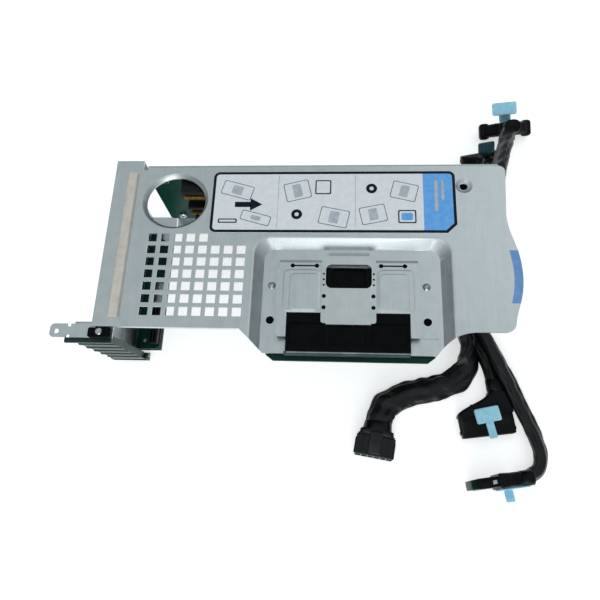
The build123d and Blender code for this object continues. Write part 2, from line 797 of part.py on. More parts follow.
def signal_inlet(x, z, width):
    """Receptacle on the card that faces the near side, with the lead's moulded end in it."""
    near = card_y - inlet_depth
    body = soft_block((x - width / 2, x + width / 2), (near + 4, card_y),
                      (z - inlet_height / 2, z + inlet_height / 2), 1, Axis.Y)
    return body + soft_block((x - width / 2 + 2, x + width / 2 - 2), (near, near + 4.5),
                             (z - inlet_height / 2 + 0.2, z + inlet_height / 2 - 0.2), 1.5, Axis.Y)


def end_inlet(z, height):
    """Receptacle at the card's right end that faces along it."""
    right = card_right + 2
    thick = inlet_height
    low = right - inlet_depth
    body = soft_block((low, right - 4), (card_y - thick, card_y), (z - height / 2, z + height / 2), 1, Axis.X)
    return body + soft_block((right - 4.5, right), (card_y - thick + 0.2, card_y - 0.2),
                             (z - height / 2 + 2, z + height / 2 - 2), 1.5, Axis.X)


def power_inlet(x, z):
    near = card_y - inlet_depth
    body = block((x - 14, x + 14), (near + 3, card_y), (z - 6, z + 6))
    body += soft_block((x - 13, x + 13), (near, near + 4), (z - 5.6, z + 5.6), 1.2, Axis.Y)
    return body + block((x - 4, x + 4), (near + 4, card_y), (z + 5, z + 8))


def retimer_chips():
    chips = []
    for x in (146, 169):
        body = block((x - 8.5, x + 8.5), (card_y - 0.9, card_y), (-33.5, -16.5))
        body += block((x - 5.5, x + 5.5), (card_y - 2.2, card_y - 0.8), (-30.5, -19.5))
        chips.append(body)
    return Compound(children=chips)


def card_capacitors():
    cans = []
    for i in range(4):
        x = 149.5 + i * 8.2
        base = block((x - 3.3, x + 3.3), (card_y - 1, card_y), (-12.3, -5.7))
        can = rod_y(x, -9, 3.1, (card_y - 6, card_y - 0.9))
        cans.append(base + chamfer(can.edges().sort_by(Axis.Y)[:1], 0.4))
    return Compound(children=cans)


def label_outline(inset):
    """The label's edge: three round corners and one cut one."""
    cut = (5.0, 6.0)
    left, right = label_left + inset, label_right - inset
    near, far = label_near + inset, label_far - inset
    with BuildSketch() as sketch:
        with BuildLine():
            Polyline((left, near), (right - cut[0], near), (right, near + cut[1]), (right, far),
                     (left, far), (left, near))
        make_face()
        fillet([v for v in sketch.vertices() if v.X < left + 1 or v.Y > far - 1], label_corner - inset)
    return sketch.sketch


def emi_gasket():
    body = block((gasket_left, gasket_right), (gasket_near, gasket_far), (0, gasket_height))
    return fillet(body.edges().filter_by(Axis.Y).group_by(Axis.Z)[-1], 1.4)


def touch_patch():
    """Blue film along the swell of the right edge."""
    face = plate_face()
    band = Pos(plate_length, (patch_near + patch_far) / 2) * Rectangle(20, patch_far - patch_near)
    inner = Pos(-patch_width) * face
    strip = (face & band) - inner
    return extrude(strip, amount=film)


def tube(points, radius, name):
    """A lead along straight runs joined by arcs as large as the runs allow."""
    runs = [(Vector(b) - Vector(a)) for a, b in zip(points, points[1:])]
    radii = []
    for before, after in zip(runs, runs[1:]):
        turn = before.get_angle(after)
        reach = 0.45 * min(before.length, after.length)
        radii.append(reach / tan(turn * 3.141592653589793 / 360))
    path = FilletPolyline(*points, radius=radii)
    section = Plane(origin=points[0], z_dir=runs[0]) * Circle(radius)
    body = sweep(section, path=path)
    print(f"{name}: length {path.length:.0f}, radii {[round(r, 1) for r in radii]}, "
          f"volume {body.volume:.0f} against {3.14159 * radius ** 2 * path.length:.0f}")
    return body


def plug_outline(width, depth, neck):
    """Plan of a signal plug: a hollow flare from the lead, then round shoulders."""
    half = width / 2
    rise = half - neck / 2
    waist = (neck / 2 + rise * 0.35, depth * 0.2)
    with BuildSketch() as sketch:
        with BuildLine():
            Line((-neck / 2, 0), (neck / 2, 0))
            ThreePointArc((neck / 2, 0), (neck / 2 + rise * 0.11, depth * 0.12), waist)
            ThreePointArc(waist, (neck / 2 + rise * 0.78, depth * 0.36), (half, depth * 0.58))
            Polyline((half, depth * 0.58), (half, depth), (-half, depth), (-half, depth * 0.58))
            ThreePointArc((-half, depth * 0.58), (-neck / 2 - rise * 0.78, depth * 0.36),
                          (-waist[0], waist[1]))
            ThreePointArc((-waist[0], waist[1]), (-neck / 2 - rise * 0.11, depth * 0.12), (-neck / 2, 0))
        make_face()
    return sketch.sketch


def signal_plug(width, depth, ears=False):
    """Plug with its lead end at the origin and its mouth at Y = depth, lying on Z = 0."""
    body = extrude(plug_outline(width, depth, 12), amount=plug_thick)
    step = (plug_thick - plug_shell) / 2
    for low, high in ((-1, step), (plug_thick - step, plug_thick + 1)):
        body -= block((-width, width), (boot_depth, depth + 1), (low, high))
    mouth = block((-width / 2 + 2, width / 2 - 2), (depth - 7, depth + 1),
                  (plug_thick / 2 - 1.9, plug_thick / 2 + 1.9))
    paddle = block((-width / 2 + 3, width / 2 - 3), (depth - 7.2, depth - 1),
                   (plug_thick / 2 - 0.8, plug_thick / 2 + 0.8))
    body = body - mouth + paddle
    if ears:
        # Latch ears at both ends, thicker than the boot
        for side in (-1, 1):
            span = sorted((side * (width / 2 - 6), side * (width / 2 + 1.5)))
            body += soft_block(span, (boot_depth - 6, boot_depth + 1),
                               (-ear_rise, plug_thick + ear_rise), 2.4, Axis.Y)
    return body


def pull_tab(bar, stem, start):
    """T-shaped pull strip on top of a plug, its bar nearer to the lead."""
    low = plug_thick
    high = low + 1.0
    body = soft_block((-bar[0] / 2, bar[0] / 2), (start, start + bar[1]), (low, high), 1)
    return body + block((-stem[0] / 2, stem[0] / 2), (start, start + bar[1] + stem[1]), (low, high))


def standing_tab(bar, stem, start):
    """T-shaped pull strip that stands up from a plug's broad face."""
    low = plug_thick
    body = block((-stem[0] / 2, stem[0] / 2), (start, start + 8), (low, low + 1))
    body += block((-stem[0] / 2, stem[0] / 2), (start, start + 1), (low, low + stem[1] + 1))
    return body + soft_block((-bar[0] / 2, bar[0] / 2), (start, start + 1),
                             (low + stem[1], low + stem[1] + bar[1]), 1, Axis.Y)


def power_plug():
    """Twelve-way plug with its lead end at the origin and its mouth at Y = 19."""
    width, depth, thick = 25.0, 19.0, 11.6
    body = block((-width / 2, width / 2), (4, depth), (0, thick))
    body = fillet(body.edges().filter_by(Axis.Y), 0.8)
    body += soft_block((-width / 2 + 1.5, width / 2 - 1.5), (0, 4.5), (0.2, thick - 0.6), 2, Axis.Y)
    for i in range(6):
        for row in range(2):
            x = -width / 2 + 2.3 + i * 4.08
            z = thick / 2 - 2.1 + row * 4.2
            body -= Pos(x, depth - 3, z) * Box(3, 8, 3)
    body += block((-4, 4), (6, depth - 1), (thick, thick + 0.9))
    body += block((-4, 4), (6, 9), (thick + 0.5, thick + 2.2))
    return body


inlet_face = card_y - inlet_depth
end_inlet_y = card_y - inlet_height / 2
end_inlet_x = card_right + 2
signal_inlet_x = card_right - 29.0
power_inlet_x = card_right - 64.0
inlet_a_z = -card_bottom + 13.6
inlet_b_z = inlet_a_z + 13.0
power_inlet_z = -card_bottom + 16.6
inlet_c_z = -card_bottom + 14.6
inlet_d_z = inlet_c_z + 23.0
power_route = [(power_inlet_x, inlet_face, power_inlet_z), (power_inlet_x, 76, power_inlet_z),
               (173, 61, -48), (190, 49, -53), (207, 41, -57),
               (221, 32, -60.5), (231.5, 21, -62.5), (234, 6, -67.5), (231.5, -7, power_lay),
               (221.5, -17, power_lay),
               (206, -21.5, power_lay), (189, -24.5, power_lay), (178, -30, power_lay),
               (173, -38, power_lay), (171.2, -47, power_lay)]
signal_route_a = [(signal_inlet_x, inlet_face, inlet_a_z), (signal_inlet_x, 78, inlet_a_z),
                  (207.5, 62.5, -54.5), (219, 48.5, -62.5),
                  (229.5, 34, signal_lay), (238.5, 20.5, signal_lay), (244.3, 6, signal_lay),
                  (246.8, -7.5, signal_lay), (246, -20.5, signal_lay)]
signal_route_b = [(signal_inlet_x, inlet_face, inlet_b_z), (signal_inlet_x, 78, inlet_b_z),
                  (207, 61, -42), (220, 47, -50),
                  (234, 34, -57), (245, 20, -61.5), (254, 5, -64), (260, -12, -66.5),
                  (267.2, -30, signal_lay), (274, -47, signal_lay), (276.5, -62, signal_lay),
                  (269.5, -73.5, signal_lay), (257, -77, signal_lay)]
signal_route_c = [(end_inlet_x, end_inlet_y, inlet_c_z), (end_inlet_x + 10, end_inlet_y, inlet_c_z),
                  (250, 103.5, -48.5),
                  (256, 113, -48.5), (257.5, 125, -47), (255, 137, -47.5), (251.5, 146, -53),
                  (249, 153, -59.8)]
signal_route_d = [(end_inlet_x, end_inlet_y, inlet_d_z), (end_inlet_x + 10, end_inlet_y, inlet_d_z),
                  (249, 104.5, -26.5),
                  (253.5, 114.5, -28), (256.5, 127, -30), (259.5, 140, -33.5), (262.5, 153, -38.5),
                  (265, 166, -46), (267, 176, -58.2)]


def end_turn(route):
    """How far a plug turns about Z to carry on from its lead."""
    last = Vector(route[-1]) - Vector(route[-2])
    return degrees(atan2(last.Y, last.X)) - 90


def laid(body, route):
    """A plug or tab that lies flat at the end of its lead."""
    x, y, _ = route[-1]
    return Pos(x, y, ground) * Rot(0, 0, end_turn(route)) * body


def leaning(body, route):
    """A plug or tab whose lead comes down to it, so that it stands on its mouth's edge."""
    ahead = (Vector(route[-1]) - Vector(route[-2])).normalized()
    right = Vector(ahead.Y, -ahead.X, 0).normalized()
    lead_end = Plane(origin=route[-1], x_dir=right, z_dir=right.cross(ahead))
    return lead_end.location * Pos(0, 0, -plug_thick / 2) * body


def on_edge(body, route):
    """A plug or tab that stands on its long edge at the end of its lead."""
    x, y, _ = route[-1]
    return (Pos(x, y, ground + slim_plug / 2) * Rot(0, 0, end_turn(route)) * Rot(0, -90, 0)
            * Pos(0, 0, -plug_thick / 2) * body)


def build():
    nodes = {
        "top_plate": top_plate(),
        "rear_frame": rear_frame(),
        "emi_gasket": emi_gasket(),
        "service_label": extrude(label_outline(0), amount=film),
        "touch_patch": touch_patch(),
        "retention_latch": retention_latch(),
        "latch_pin": rod_x(latch_axis_y, -latch_axis_z, pin_radius,
                           (latch_ears()[0][0] - 0.5, latch_ears()[1][1] + 0.5)),
        "latch_base": latch_base(),
        "latch_catch": latch_catch(),
        "latch_screw": latch_screw(),
        "retainer_bracket": retainer_bracket(),
        "bracket_rivets": bracket_rivets(),
        "spring_strap": spring_strap(),
        "card_retainer": card_retainer(),
        "retainer_lip": retainer_lip(),
        "adapter_board": adapter_board(),
        "adapter_spacers": adapter_spacers(),
        "rear_board": rear_board(),
        "rear_board_spacers": rear_board_spacers(),
        "rear_board_connector": rear_board_connector(),
        "riser_card": riser_card(),
        "card_spacers": card_spacers(),
        "card_screws": card_screws(),
        "power_inlet": power_inlet(power_route[0][0], power_route[0][2]),
        "signal_inlet_a": signal_inlet(signal_route_a[0][0], signal_route_a[0][2], wide_plug),
        "signal_inlet_b": signal_inlet(signal_route_b[0][0], signal_route_b[0][2], wide_plug),
        "signal_inlet_c": end_inlet(signal_route_c[0][2], end_inlet_tall),
        "signal_inlet_d": end_inlet(signal_route_d[0][2], end_inlet_tall),
        "retimer_chips": retimer_chips(),
        "card_capacitors": card_capacitors(),
    }
    for i, z in enumerate(slot_centres):
        nodes[f"slot_filler_{i + 1}"] = slot_filler(z)
        nodes[f"card_slot_{i + 1}"] = card_slot(z)
    cords = {
        "power_lead": tube(power_route, power_radius, "power_lead"),
        "signal_lead_a": tube(signal_route_a, signal_radius, "signal_lead_a"),
        "signal_lead_b": tube(signal_route_b, signal_radius, "signal_lead_b"),
        "signal_lead_c": tube(signal_route_c, signal_radius, "signal_lead_c"),
        "signal_lead_d": tube(signal_route_d, signal_radius, "signal_lead_d"),
        "power_plug": laid(power_plug(), power_route),
        "signal_plug_a": laid(signal_plug(wide_plug, plug_depth), signal_route_a),
        "signal_plug_b": on_edge(signal_plug(slim_plug, plug_depth), signal_route_b),
        "signal_plug_c": leaning(signal_plug(wide_plug - 4, far_plug_depth), signal_route_c),
        "signal_plug_d": leaning(signal_plug(wide_plug, far_plug_depth, ears=True), signal_route_d),
        "signal_tab_a": laid(pull_tab((16, 8.5), (5, 0), 6), signal_route_a),
        "signal_tab_b": on_edge(pull_tab((9, 6), (4, 0), 8), signal_route_b),
        "signal_tab_c": leaning(standing_tab((12, 8), (6, 1.5), 2), signal_route_c),
        "signal_tab_d": leaning(standing_tab((18, 9), (10, 4.5), 2), signal_route_d),
    }
    return nodes, cords


def main():
    os.makedirs("parts", exist_ok=True)
    nodes, cords = build()
    cage = Compound(children=[Compound(children=list(part.solids())) for part in nodes.values()])
    box = cage.bounding_box()
    middle = box.center()
    shift = Pos(-middle.X, -middle.Y, -box.min.Z)
    print("origin in the building frame:", round(middle.X, 3), round(middle.Y, 3), round(box.min.Z, 3))
    for name, part in {**nodes, **cords}.items():
        export_step(shift * Compound(children=list(part.solids())), f"parts/{name}.step")


main()
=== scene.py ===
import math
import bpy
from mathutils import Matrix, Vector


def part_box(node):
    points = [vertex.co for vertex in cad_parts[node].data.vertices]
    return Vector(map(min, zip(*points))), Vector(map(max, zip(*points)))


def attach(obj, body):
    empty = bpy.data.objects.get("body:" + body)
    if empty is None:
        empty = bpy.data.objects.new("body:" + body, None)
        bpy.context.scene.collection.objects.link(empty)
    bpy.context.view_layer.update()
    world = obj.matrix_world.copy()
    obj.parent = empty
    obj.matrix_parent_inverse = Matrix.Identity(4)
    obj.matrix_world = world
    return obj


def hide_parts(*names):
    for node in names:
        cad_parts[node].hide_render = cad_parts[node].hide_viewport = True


bl_info = {
    "name": "Server riser",
    "version": (1, 0, 0),
    "blender": (4, 5, 0),
    "location": "View3D > Sidebar > Riser",
    "description": "Dresses a server riser: sheet-metal cage, latch, boards, label and sleeved leads",
    "category": "Object",
}

import bmesh
import bpy
from mathutils import Matrix, Vector, noise

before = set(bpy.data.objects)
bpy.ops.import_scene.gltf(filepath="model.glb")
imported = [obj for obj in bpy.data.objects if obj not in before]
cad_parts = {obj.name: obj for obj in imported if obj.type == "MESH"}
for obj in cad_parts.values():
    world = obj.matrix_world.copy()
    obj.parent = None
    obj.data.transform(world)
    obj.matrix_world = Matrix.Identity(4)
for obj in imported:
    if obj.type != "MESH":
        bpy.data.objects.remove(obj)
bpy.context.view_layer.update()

# Sizes below are millimetres in the builder's frame: X = 0 at the rear frame's outer face,
# Y = 0 at the plate's near edge and Z = 0 at its top face.
CARD_CORNER = Vector((20.0, 104.0, -62.6))      # the riser card's lowest corner in that frame
ORIGIN = CARD_CORNER - Vector(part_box("riser_card")[0]) * 1000
GROUND = -76.0
PLUG_THICK = 9.0
SHELL_THICK = 6.4           # the mouth end of a signal plug
BOOT_DEPTH = 15.0           # its thicker moulded end
STRAP_TOP = 0.3
BRACKET_TOP = -0.5
POCKET_FLOOR = -5.5
BRACKET_HOLES = (105.5, 197.25)
FILM_TOP = 0.15             # the label's film over the plate
INK_THICK = 0.03
STRIP_THICK = 1.0           # a pull strip
SOFT_EDGE = math.radians(35)     # edges that turn more than this are broken
SLEEVE_SQUARE = 0.86        # a sleeve's section: 1 is round, less is flatter at the sides
FLOOR_GAP = 0.0002          # metres between a sleeve and the floor
PLUG_RISE = 0.4             # a plug over the floor, so that its moulded details clear it


def at(x, y, z):
    """A point of the builder's frame, in metres from the row's origin."""
    return (Vector((x, y, z)) - ORIGIN) / 1000


def linear(colour):
    """An sRGB hex value as linear red, green, blue and alpha."""
    channels = [int(colour[i:i + 2], 16) / 255 for i in (1, 3, 5)]
    return [c / 12.92 if c <= 0.04045 else ((c + 0.055) / 1.055) ** 2.4 for c in channels] + [1.0]


def add_node(material, kind, inputs=None, **settings):
    """A shader node with its settings and its values or links."""
    node = material.node_tree.nodes.new(kind)
    for name, value in settings.items():
        setattr(node, name, value)
    for name, value in (inputs or {}).items():
        if isinstance(value, bpy.types.NodeSocket):
            material.node_tree.links.new(value, node.inputs[name])
        else:
            node.inputs[name].default_value = value
    return node


def new_material(name):
    """An empty node material with a surface shader and its place coordinates."""
    material = bpy.data.materials.new(name)
    material.use_nodes = True
    shader = material.node_tree.nodes["Principled BSDF"]
    place = add_node(material, "ShaderNodeTexCoord")
    return material, shader, place


def link(material, source, target):
    material.node_tree.links.new(source, target)


def two_tones(material, factor, low, high, start=0.35, end=0.65):
    """A colour that runs between two tones as a factor goes from start to end."""
    ramp = add_node(material, "ShaderNodeValToRGB", {"Fac": factor})
    ramp.color_ramp.elements[0].position = start
    ramp.color_ramp.elements[0].color = linear(low)
    ramp.color_ramp.elements[1].position = end
    ramp.color_ramp.elements[1].color = linear(high)
    return ramp.outputs["Color"]


def noise_map(material, place, scale, detail, **inputs):
    """Noise over a piece's own place, where scale is the number of patches in a metre."""
    return add_node(material, "ShaderNodeTexNoise", {"Vector": place.outputs["Object"], "Scale": scale,
                                                     "Detail": detail, **inputs}).outputs["Fac"]


def blend(material, share, first, second):
    """Two values mixed, with the second one's share."""
    return add_node(material, "ShaderNodeMix", {"Factor": share, "A": first, "B": second},
                    data_type="FLOAT").outputs["Result"]


def paint(material, shader, factor, low, high, *limits):
    """Lays two tones on a surface, as a factor runs between its limits."""
    link(material, two_tones(material, factor, low, high, *limits), shader.inputs["Base Color"])


def surface(shader, **values):
    """Sets a surface shader's values, with an underscore for each space in a name."""
    for name, value in values.items():
        shader.inputs[name.replace("_", " ")].default_value = value


def bump(material, shader, height, strength, depth_mm):
    relief = add_node(material, "ShaderNodeBump", {"Height": height, "Strength": strength,
                                                   "Distance": depth_mm / 1000})
    link(material, relief.outputs["Normal"], shader.inputs["Normal"])


# Materials

def galvanised_sheet(name, low, high, roughness):
    """Zinc-coated steel from the rolling mill: a soft sheen, faint cloudy patches about 8 mm
    across, and fine rolling lines along Y, drawn 0.7 mm apart so that they show."""
    material, shader, place = new_material(name)
    cloud = noise_map(material, place, 120, 4, Roughness=0.6)
    stretch = add_node(material, "ShaderNodeMapping", {"Vector": place.outputs["Object"],
                                                       "Scale": (1400, 45, 1400)})
    lines = add_node(material, "ShaderNodeTexNoise", {"Vector": stretch.outputs["Vector"], "Scale": 1,
                                                      "Detail": 2})
    both = blend(material, 0.35, cloud, lines.outputs["Fac"])
    paint(material, shader, both, low, high)
    rough = add_node(material, "ShaderNodeMapRange", {"Value": cloud,
                                                      "To Min": roughness - 0.06,
                                                      "To Max": roughness + 0.08})
    link(material, rough.outputs["Result"], shader.inputs["Roughness"])
    surface(shader, Metallic=1.0)
    bump(material, shader, lines.outputs["Fac"], 0.12, 0.05)
    return material


def moulded_nylon(name, low, high, roughness=0.46, shine=0.25):
    """Glass-filled nylon from a spark-eroded mould: a fine even grain about 0.6 mm across that
    breaks the highlight, and slightly paler flow patches. The matt filler keeps reflections low."""
    material, shader, place = new_material(name)
    grain = noise_map(material, place, 1600, 2)
    flow = noise_map(material, place, 160, 3)
    paint(material, shader, flow, low, high)
    surface(shader, Roughness=roughness, IOR=1.53, Specular_IOR_Level=shine)
    bump(material, shader, grain, 0.25, 0.06)
    return material


def conductive_cloth(name, low, high):
    """Nickel-coated ripstop over foam: a fine square weave 0.8 mm apart with a dull metallic
    sheen, rubbed paler in places."""
    material, shader, place = new_material(name)
    weave = add_node(material, "ShaderNodeTexVoronoi", {"Vector": place.outputs["Object"], "Scale": 1250,
                                                        "Randomness": 0.15}, distance="CHEBYCHEV")
    rub = noise_map(material, place, 220, 5)
    both = blend(material, 0.6, weave.outputs["Distance"], rub)
    paint(material, shader, both, low, high, 0.25, 0.7)
    surface(shader, Roughness=0.55, Metallic=0.25)
    bump(material, shader, weave.outputs["Distance"], 0.35, 0.12)
    return material


def solder_mask(name, low, high):
    """Fibreglass board under green solder mask: copper tracks about 1 mm apart show through as
    slightly raised paler lines, and the mask has a wet-looking coat."""
    material, shader, place = new_material(name)
    tracks = add_node(material, "ShaderNodeTexBrick", {"Vector": place.outputs["Object"], "Scale": 260,
                                                       "Color1": (0, 0, 0, 1),
                                                       "Color2": (0.25, 0.25, 0.25, 1),
                                                       "Mortar": (1, 1, 1, 1), "Mortar Size": 0.03})
    patches = noise_map(material, place, 60, 2)
    both = blend(material, 0.45, patches, tracks.outputs["Color"])
    paint(material, shader, both, low, high, 0.1, 0.8)
    surface(shader, Roughness=0.4, Specular_IOR_Level=0.12, Coat_Weight=0.06, Coat_Roughness=0.2)
    bump(material, shader, tracks.outputs["Color"], 0.2, 0.05)
    return material


def printed_film(name, low, high, roughness=0.42, shine=0.5):
    """Polyester film with a screen-printed ink: flat and even, with a faint unevenness of the
    ink and the slight gloss of the film."""
    material, shader, place = new_material(name)
    ink = noise_map(material, place, 300, 3)
    paint(material, shader, ink, low, high)
    surface(shader, Roughness=roughness, IOR=1.49, Specular_IOR_Level=shine)
    bump(material, shader, ink, 0.04, 0.02)
    return material


def soft_strip(name, low, high):
    """Flexible polyurethane pull strip: matt and slightly waxy, with scuffs paler than the rest."""
    material, shader, place = new_material(name)
    scuff = noise_map(material, place, 350, 4)
    paint(material, shader, scuff, low, high)
    surface(shader, Roughness=0.5, Sheen_Weight=0.1)
    bump(material, shader, scuff, 0.12, 0.05)
    return material


def turned_metal(name, low, high, roughness):
    """Plated steel or aluminium, turned or drawn: smooth, with faint tool marks."""
    material, shader, place = new_material(name)
    marks = noise_map(material, place, 700, 2)
    paint(material, shader, marks, low, high)
    surface(shader, Metallic=1.0, Roughness=roughness)
    bump(material, shader, marks, 0.05, 0.03)
    return material


def braided_sleeve(name, low, high, threads_round, along_mm):
    """Expandable polyester braid over taped wires: two families of flat black threads cross at a
    slant, about 3 mm apart, which is twice as coarse as real so that they show. The threads
    are a little glossy on their crowns. Their colour comes from the threads' height: painted
    shade darkens the gaps between them and a painted highlight makes the crowns paler, mixed
    half and half with a random worn tone."""
    material, shader, place = new_material(name)
    split = add_node(material, "ShaderNodeSeparateXYZ", {"Vector": place.outputs["UV"]})
    turn = add_node(material, "ShaderNodeMath", {0: split.outputs["X"], 1: threads_round * 2 * math.pi},
                    operation="MULTIPLY")
    run = add_node(material, "ShaderNodeMath", {0: split.outputs["Y"], 1: 2 * math.pi / along_mm * 1000},
                   operation="MULTIPLY")
    families = []
    for way in ("ADD", "SUBTRACT"):
        slant = add_node(material, "ShaderNodeMath", {0: turn.outputs[0], 1: run.outputs[0]}, operation=way)
        families.append(add_node(material, "ShaderNodeMath", {0: slant.outputs[0]}, operation="SINE"))
    threads = add_node(material, "ShaderNodeMath", {0: families[0].outputs[0], 1: families[1].outputs[0]},
                       operation="MAXIMUM")
    height = add_node(material, "ShaderNodeMapRange", {"Value": threads.outputs[0], "From Min": -0.6,
                                                       "From Max": 1.0})
    worn = noise_map(material, place, 260, 4)
    both = blend(material, 0.5, height.outputs["Result"], worn)
    # Painted shade in the gaps and a painted highlight on the crowns, from the threads' height, mixed with the
    # random worn tone
    paint(material, shader, both, low, high, 0.3, 0.85)
    surface(shader, Roughness=0.38, IOR=1.57, Specular_IOR_Level=0.28)
    bump(material, shader, height.outputs["Result"], 0.35, 0.15)
    return material


def make_materials():
    """Every finish of the riser, by the record's slot or by its place on the label."""
    colours = bpy.context.scene.riser_colours
    return {
        "galvanised_steel": galvanised_sheet("galvanised_sheet", colours.sheet_low,
                                             colours.sheet_high, 0.38),
        "filler_steel": galvanised_sheet("filler_sheet", "#A4ADB0", "#B6BFC2", 0.42),
        "spring_steel": galvanised_sheet("spring_sheet", "#C6CED0", "#D4DADC", 0.32),
        "pin_steel": turned_metal("plated_pin", "#99A2A5", "#B4BDC0", 0.32),
        "screw_steel": turned_metal("plated_screw", "#A6AEB0", "#C4CBCC", 0.28),
        # Near-black steel: painted shade for the adapter spacers seen through the bracket's holes and for the
        # dark hole discs
        "black_steel": turned_metal("hole_shade_blackened_steel", "#0D0F10", "#191C1E", 0.5),
        "capacitor_can": turned_metal("aluminium_can", "#B9BDC2", "#D9DCE0", 0.3),
        "gasket_fabric": conductive_cloth("conductive_cloth", "#CFC7BC", "#F0ECE4"),
        "label_film": printed_film("white_film", "#EDF2F9", "#F6FAFD"),
        "blue_film": printed_film("touch_blue_film", colours.touch_blue, "#76A8DC"),
        "latch_plastic": moulded_nylon("latch_nylon", "#1A2C2B", "#263C3B", 0.34, 0.22),
        "power_nylon": moulded_nylon("power_nylon", "#070B0E", "#10161B", 0.26, 0.28),
        "green_insert": moulded_nylon("green_insert", "#041E18", "#082E25", 0.4, 0.08),
        "black_plastic": moulded_nylon("black_nylon", "#040506", "#080A0C", 0.42, 0.06),
        "grey_plastic": moulded_nylon("grey_nylon", "#323D3F", "#434F52", 0.36, 0.5),
        # A paler grey that paints the highlight along the retainer lip's top edge
        "highlight_bead_plastic": moulded_nylon("highlight_grey_nylon", "#6E7E81", "#8E9DA0", 0.4, 0.4),
        "circuit_board": solder_mask("solder_mask", "#031F19", "#0A3D32"),
        "connector_plastic": moulded_nylon("connector_polymer", "#08090B", "#111316", 0.5),
        "chip_plastic": moulded_nylon("chip_epoxy", "#0E0F10", "#1B1C1E", 0.6),
        "braided_sleeve": braided_sleeve("braided_polyester", colours.sleeve_gap_shade_tone,
                                         colours.sleeve_crown_highlight_tone, 14, 3.4),
        "plug_plastic": moulded_nylon("plug_nylon", "#040607", "#080B0D", 0.36, 0.12),
        "shrink_tube": moulded_nylon("shrink_tube", "#040506", "#0A0C0E", 0.3, 0.25),
        "tab_light_blue": soft_strip("light_blue_strip", colours.tab_blue, "#B4EBFF"),
        "tab_teal": soft_strip("teal_strip", "#123A44", "#1F5A66"),
        "ink_black": printed_film("black_ink", "#07111D", "#0D1A2A", 0.4, 0.15),
        "ink_blue": printed_film("blue_ink", colours.label_blue, "#70BAFF", 0.36),
        "ink_grey": printed_film("grey_ink", "#5C666E", "#747E86", 0.4),
        "ink_pale": printed_film("pale_ink", "#B3BDC7", "#C6CFD8", 0.4),
        "contact_gold": turned_metal("gold_contacts", "#A8833C", "#CFA956", 0.3),
        "ceramic": moulded_nylon("ceramic_parts", "#6B5F4E", "#8C7E68", 0.5, 0.4),
    }


# Making pieces

def finish_mesh(form, name, material, body, smooth=True, replaced=()):
    """Turns a bmesh into a piece that rides on a body."""
    mesh = bpy.data.meshes.new(name)
    in_order(form)
    form.to_mesh(mesh)
    form.free()
    mesh.materials.append(material)
    piece = bpy.data.objects.new(name, mesh)
    bpy.context.scene.collection.objects.link(piece)
    if smooth:
        mesh.shade_smooth()
    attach(piece, body)
    if replaced:
        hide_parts(*replaced)
    return piece


def dress(node, material, edge_mm=0.0):
    """Gives a CAD node its finish and, where asked, softly broken edges."""
    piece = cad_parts[node]
    piece.material_slots[0].link = "OBJECT"
    piece.material_slots[0].material = material
    if edge_mm:
        weld = piece.modifiers.new("join", "WELD")
        weld.merge_threshold = 0.00001
        bevel = piece.modifiers.new("broken edge", "BEVEL")
        bevel.width = edge_mm / 1000
        bevel.segments = 2
        bevel.limit_method = "ANGLE"
        bevel.angle_limit = SOFT_EDGE
        bevel.harden_normals = False
        bevel.use_clamp_overlap = True
    return piece


def in_order(form):
    """Sorts a form's corners and faces by place: bmesh's extrusions leave them in another order each run."""
    places = ((form.verts, lambda corner: corner.co), (form.faces, lambda face: face.calc_center_median()))
    for parts, place in places:
        found = sorted(parts, key=lambda part: [round(value, 7) for value in place(part)])
        rank = {part: i for i, part in enumerate(found)}
        parts.sort(key=rank.get)
        parts.index_update()


def move(form, matrix):
    bmesh.ops.transform(form, matrix=matrix, verts=form.verts)


def thicken(form, faces, thick):
    """Draws faces up by a thickness, and gives the new vertices."""
    raised = bmesh.ops.extrude_face_region(form, geom=faces)
    top = [v for v in raised["geom"] if isinstance(v, bmesh.types.BMVert)]
    bmesh.ops.translate(form, vec=(0, 0, thick), verts=top)
    return top


def plate(form, x, y, radius=0.0, turn=0.0, thick=INK_THICK, low=FILM_TOP, segments=6):
    """A thin flat patch on the plate between pairs of sides, with round corners."""
    middle = ((x[0] + x[1]) / 2, (y[0] + y[1]) / 2)
    patch = bmesh.ops.create_grid(form, x_segments=1, y_segments=1, size=0.5)
    bmesh.ops.scale(form, vec=(x[1] - x[0], y[1] - y[0], 1), verts=patch["verts"])
    corners = patch["verts"]
    if radius:
        made = bmesh.ops.bevel(form, geom=corners, offset=radius, segments=segments, profile=0.5,
                               affect="VERTICES", material=-1)
        corners = made["verts"]
    shape = [*corners, *thicken(form, [corners[0].link_faces[0]], thick)]
    turned = Matrix.Translation((middle[0], middle[1], low)) @ Matrix.Rotation(math.radians(turn), 4, "Z")
    bmesh.ops.transform(form, matrix=turned, verts=shape)
    return shape


def disc(form, x, y, radius, sides=32, thick=INK_THICK, low=FILM_TOP, turn=0.0):
    """A thin flat round or many-sided patch on the plate."""
    made = bmesh.ops.create_circle(form, cap_ends=True, segments=sides, radius=radius)
    shape = [*made["verts"], *thicken(form, [made["verts"][0].link_faces[0]], thick)]
    placed = Matrix.Translation((x, y, low)) @ Matrix.Rotation(math.radians(turn), 4, "Z")
    bmesh.ops.transform(form, matrix=placed, verts=shape)
    return shape


def raised_step(form, x, y, z, slope, radius):
    """A pressed step between pairs of sides, with round corners and sides that slope in."""
    patch = plate(form, x, y, radius, thick=z[1] - z[0], low=z[0])
    middle = Vector(((x[0] + x[1]) / 2, (y[0] + y[1]) / 2))
    narrowed = (1 - 2 * slope / (x[1] - x[0]), 1 - 2 * slope / (y[1] - y[0]))
    for v in patch:
        if v.co.z > (z[0] + z[1]) / 2:
            v.co.x = middle.x + (v.co.x - middle.x) * narrowed[0]
            v.co.y = middle.y + (v.co.y - middle.y) * narrowed[1]


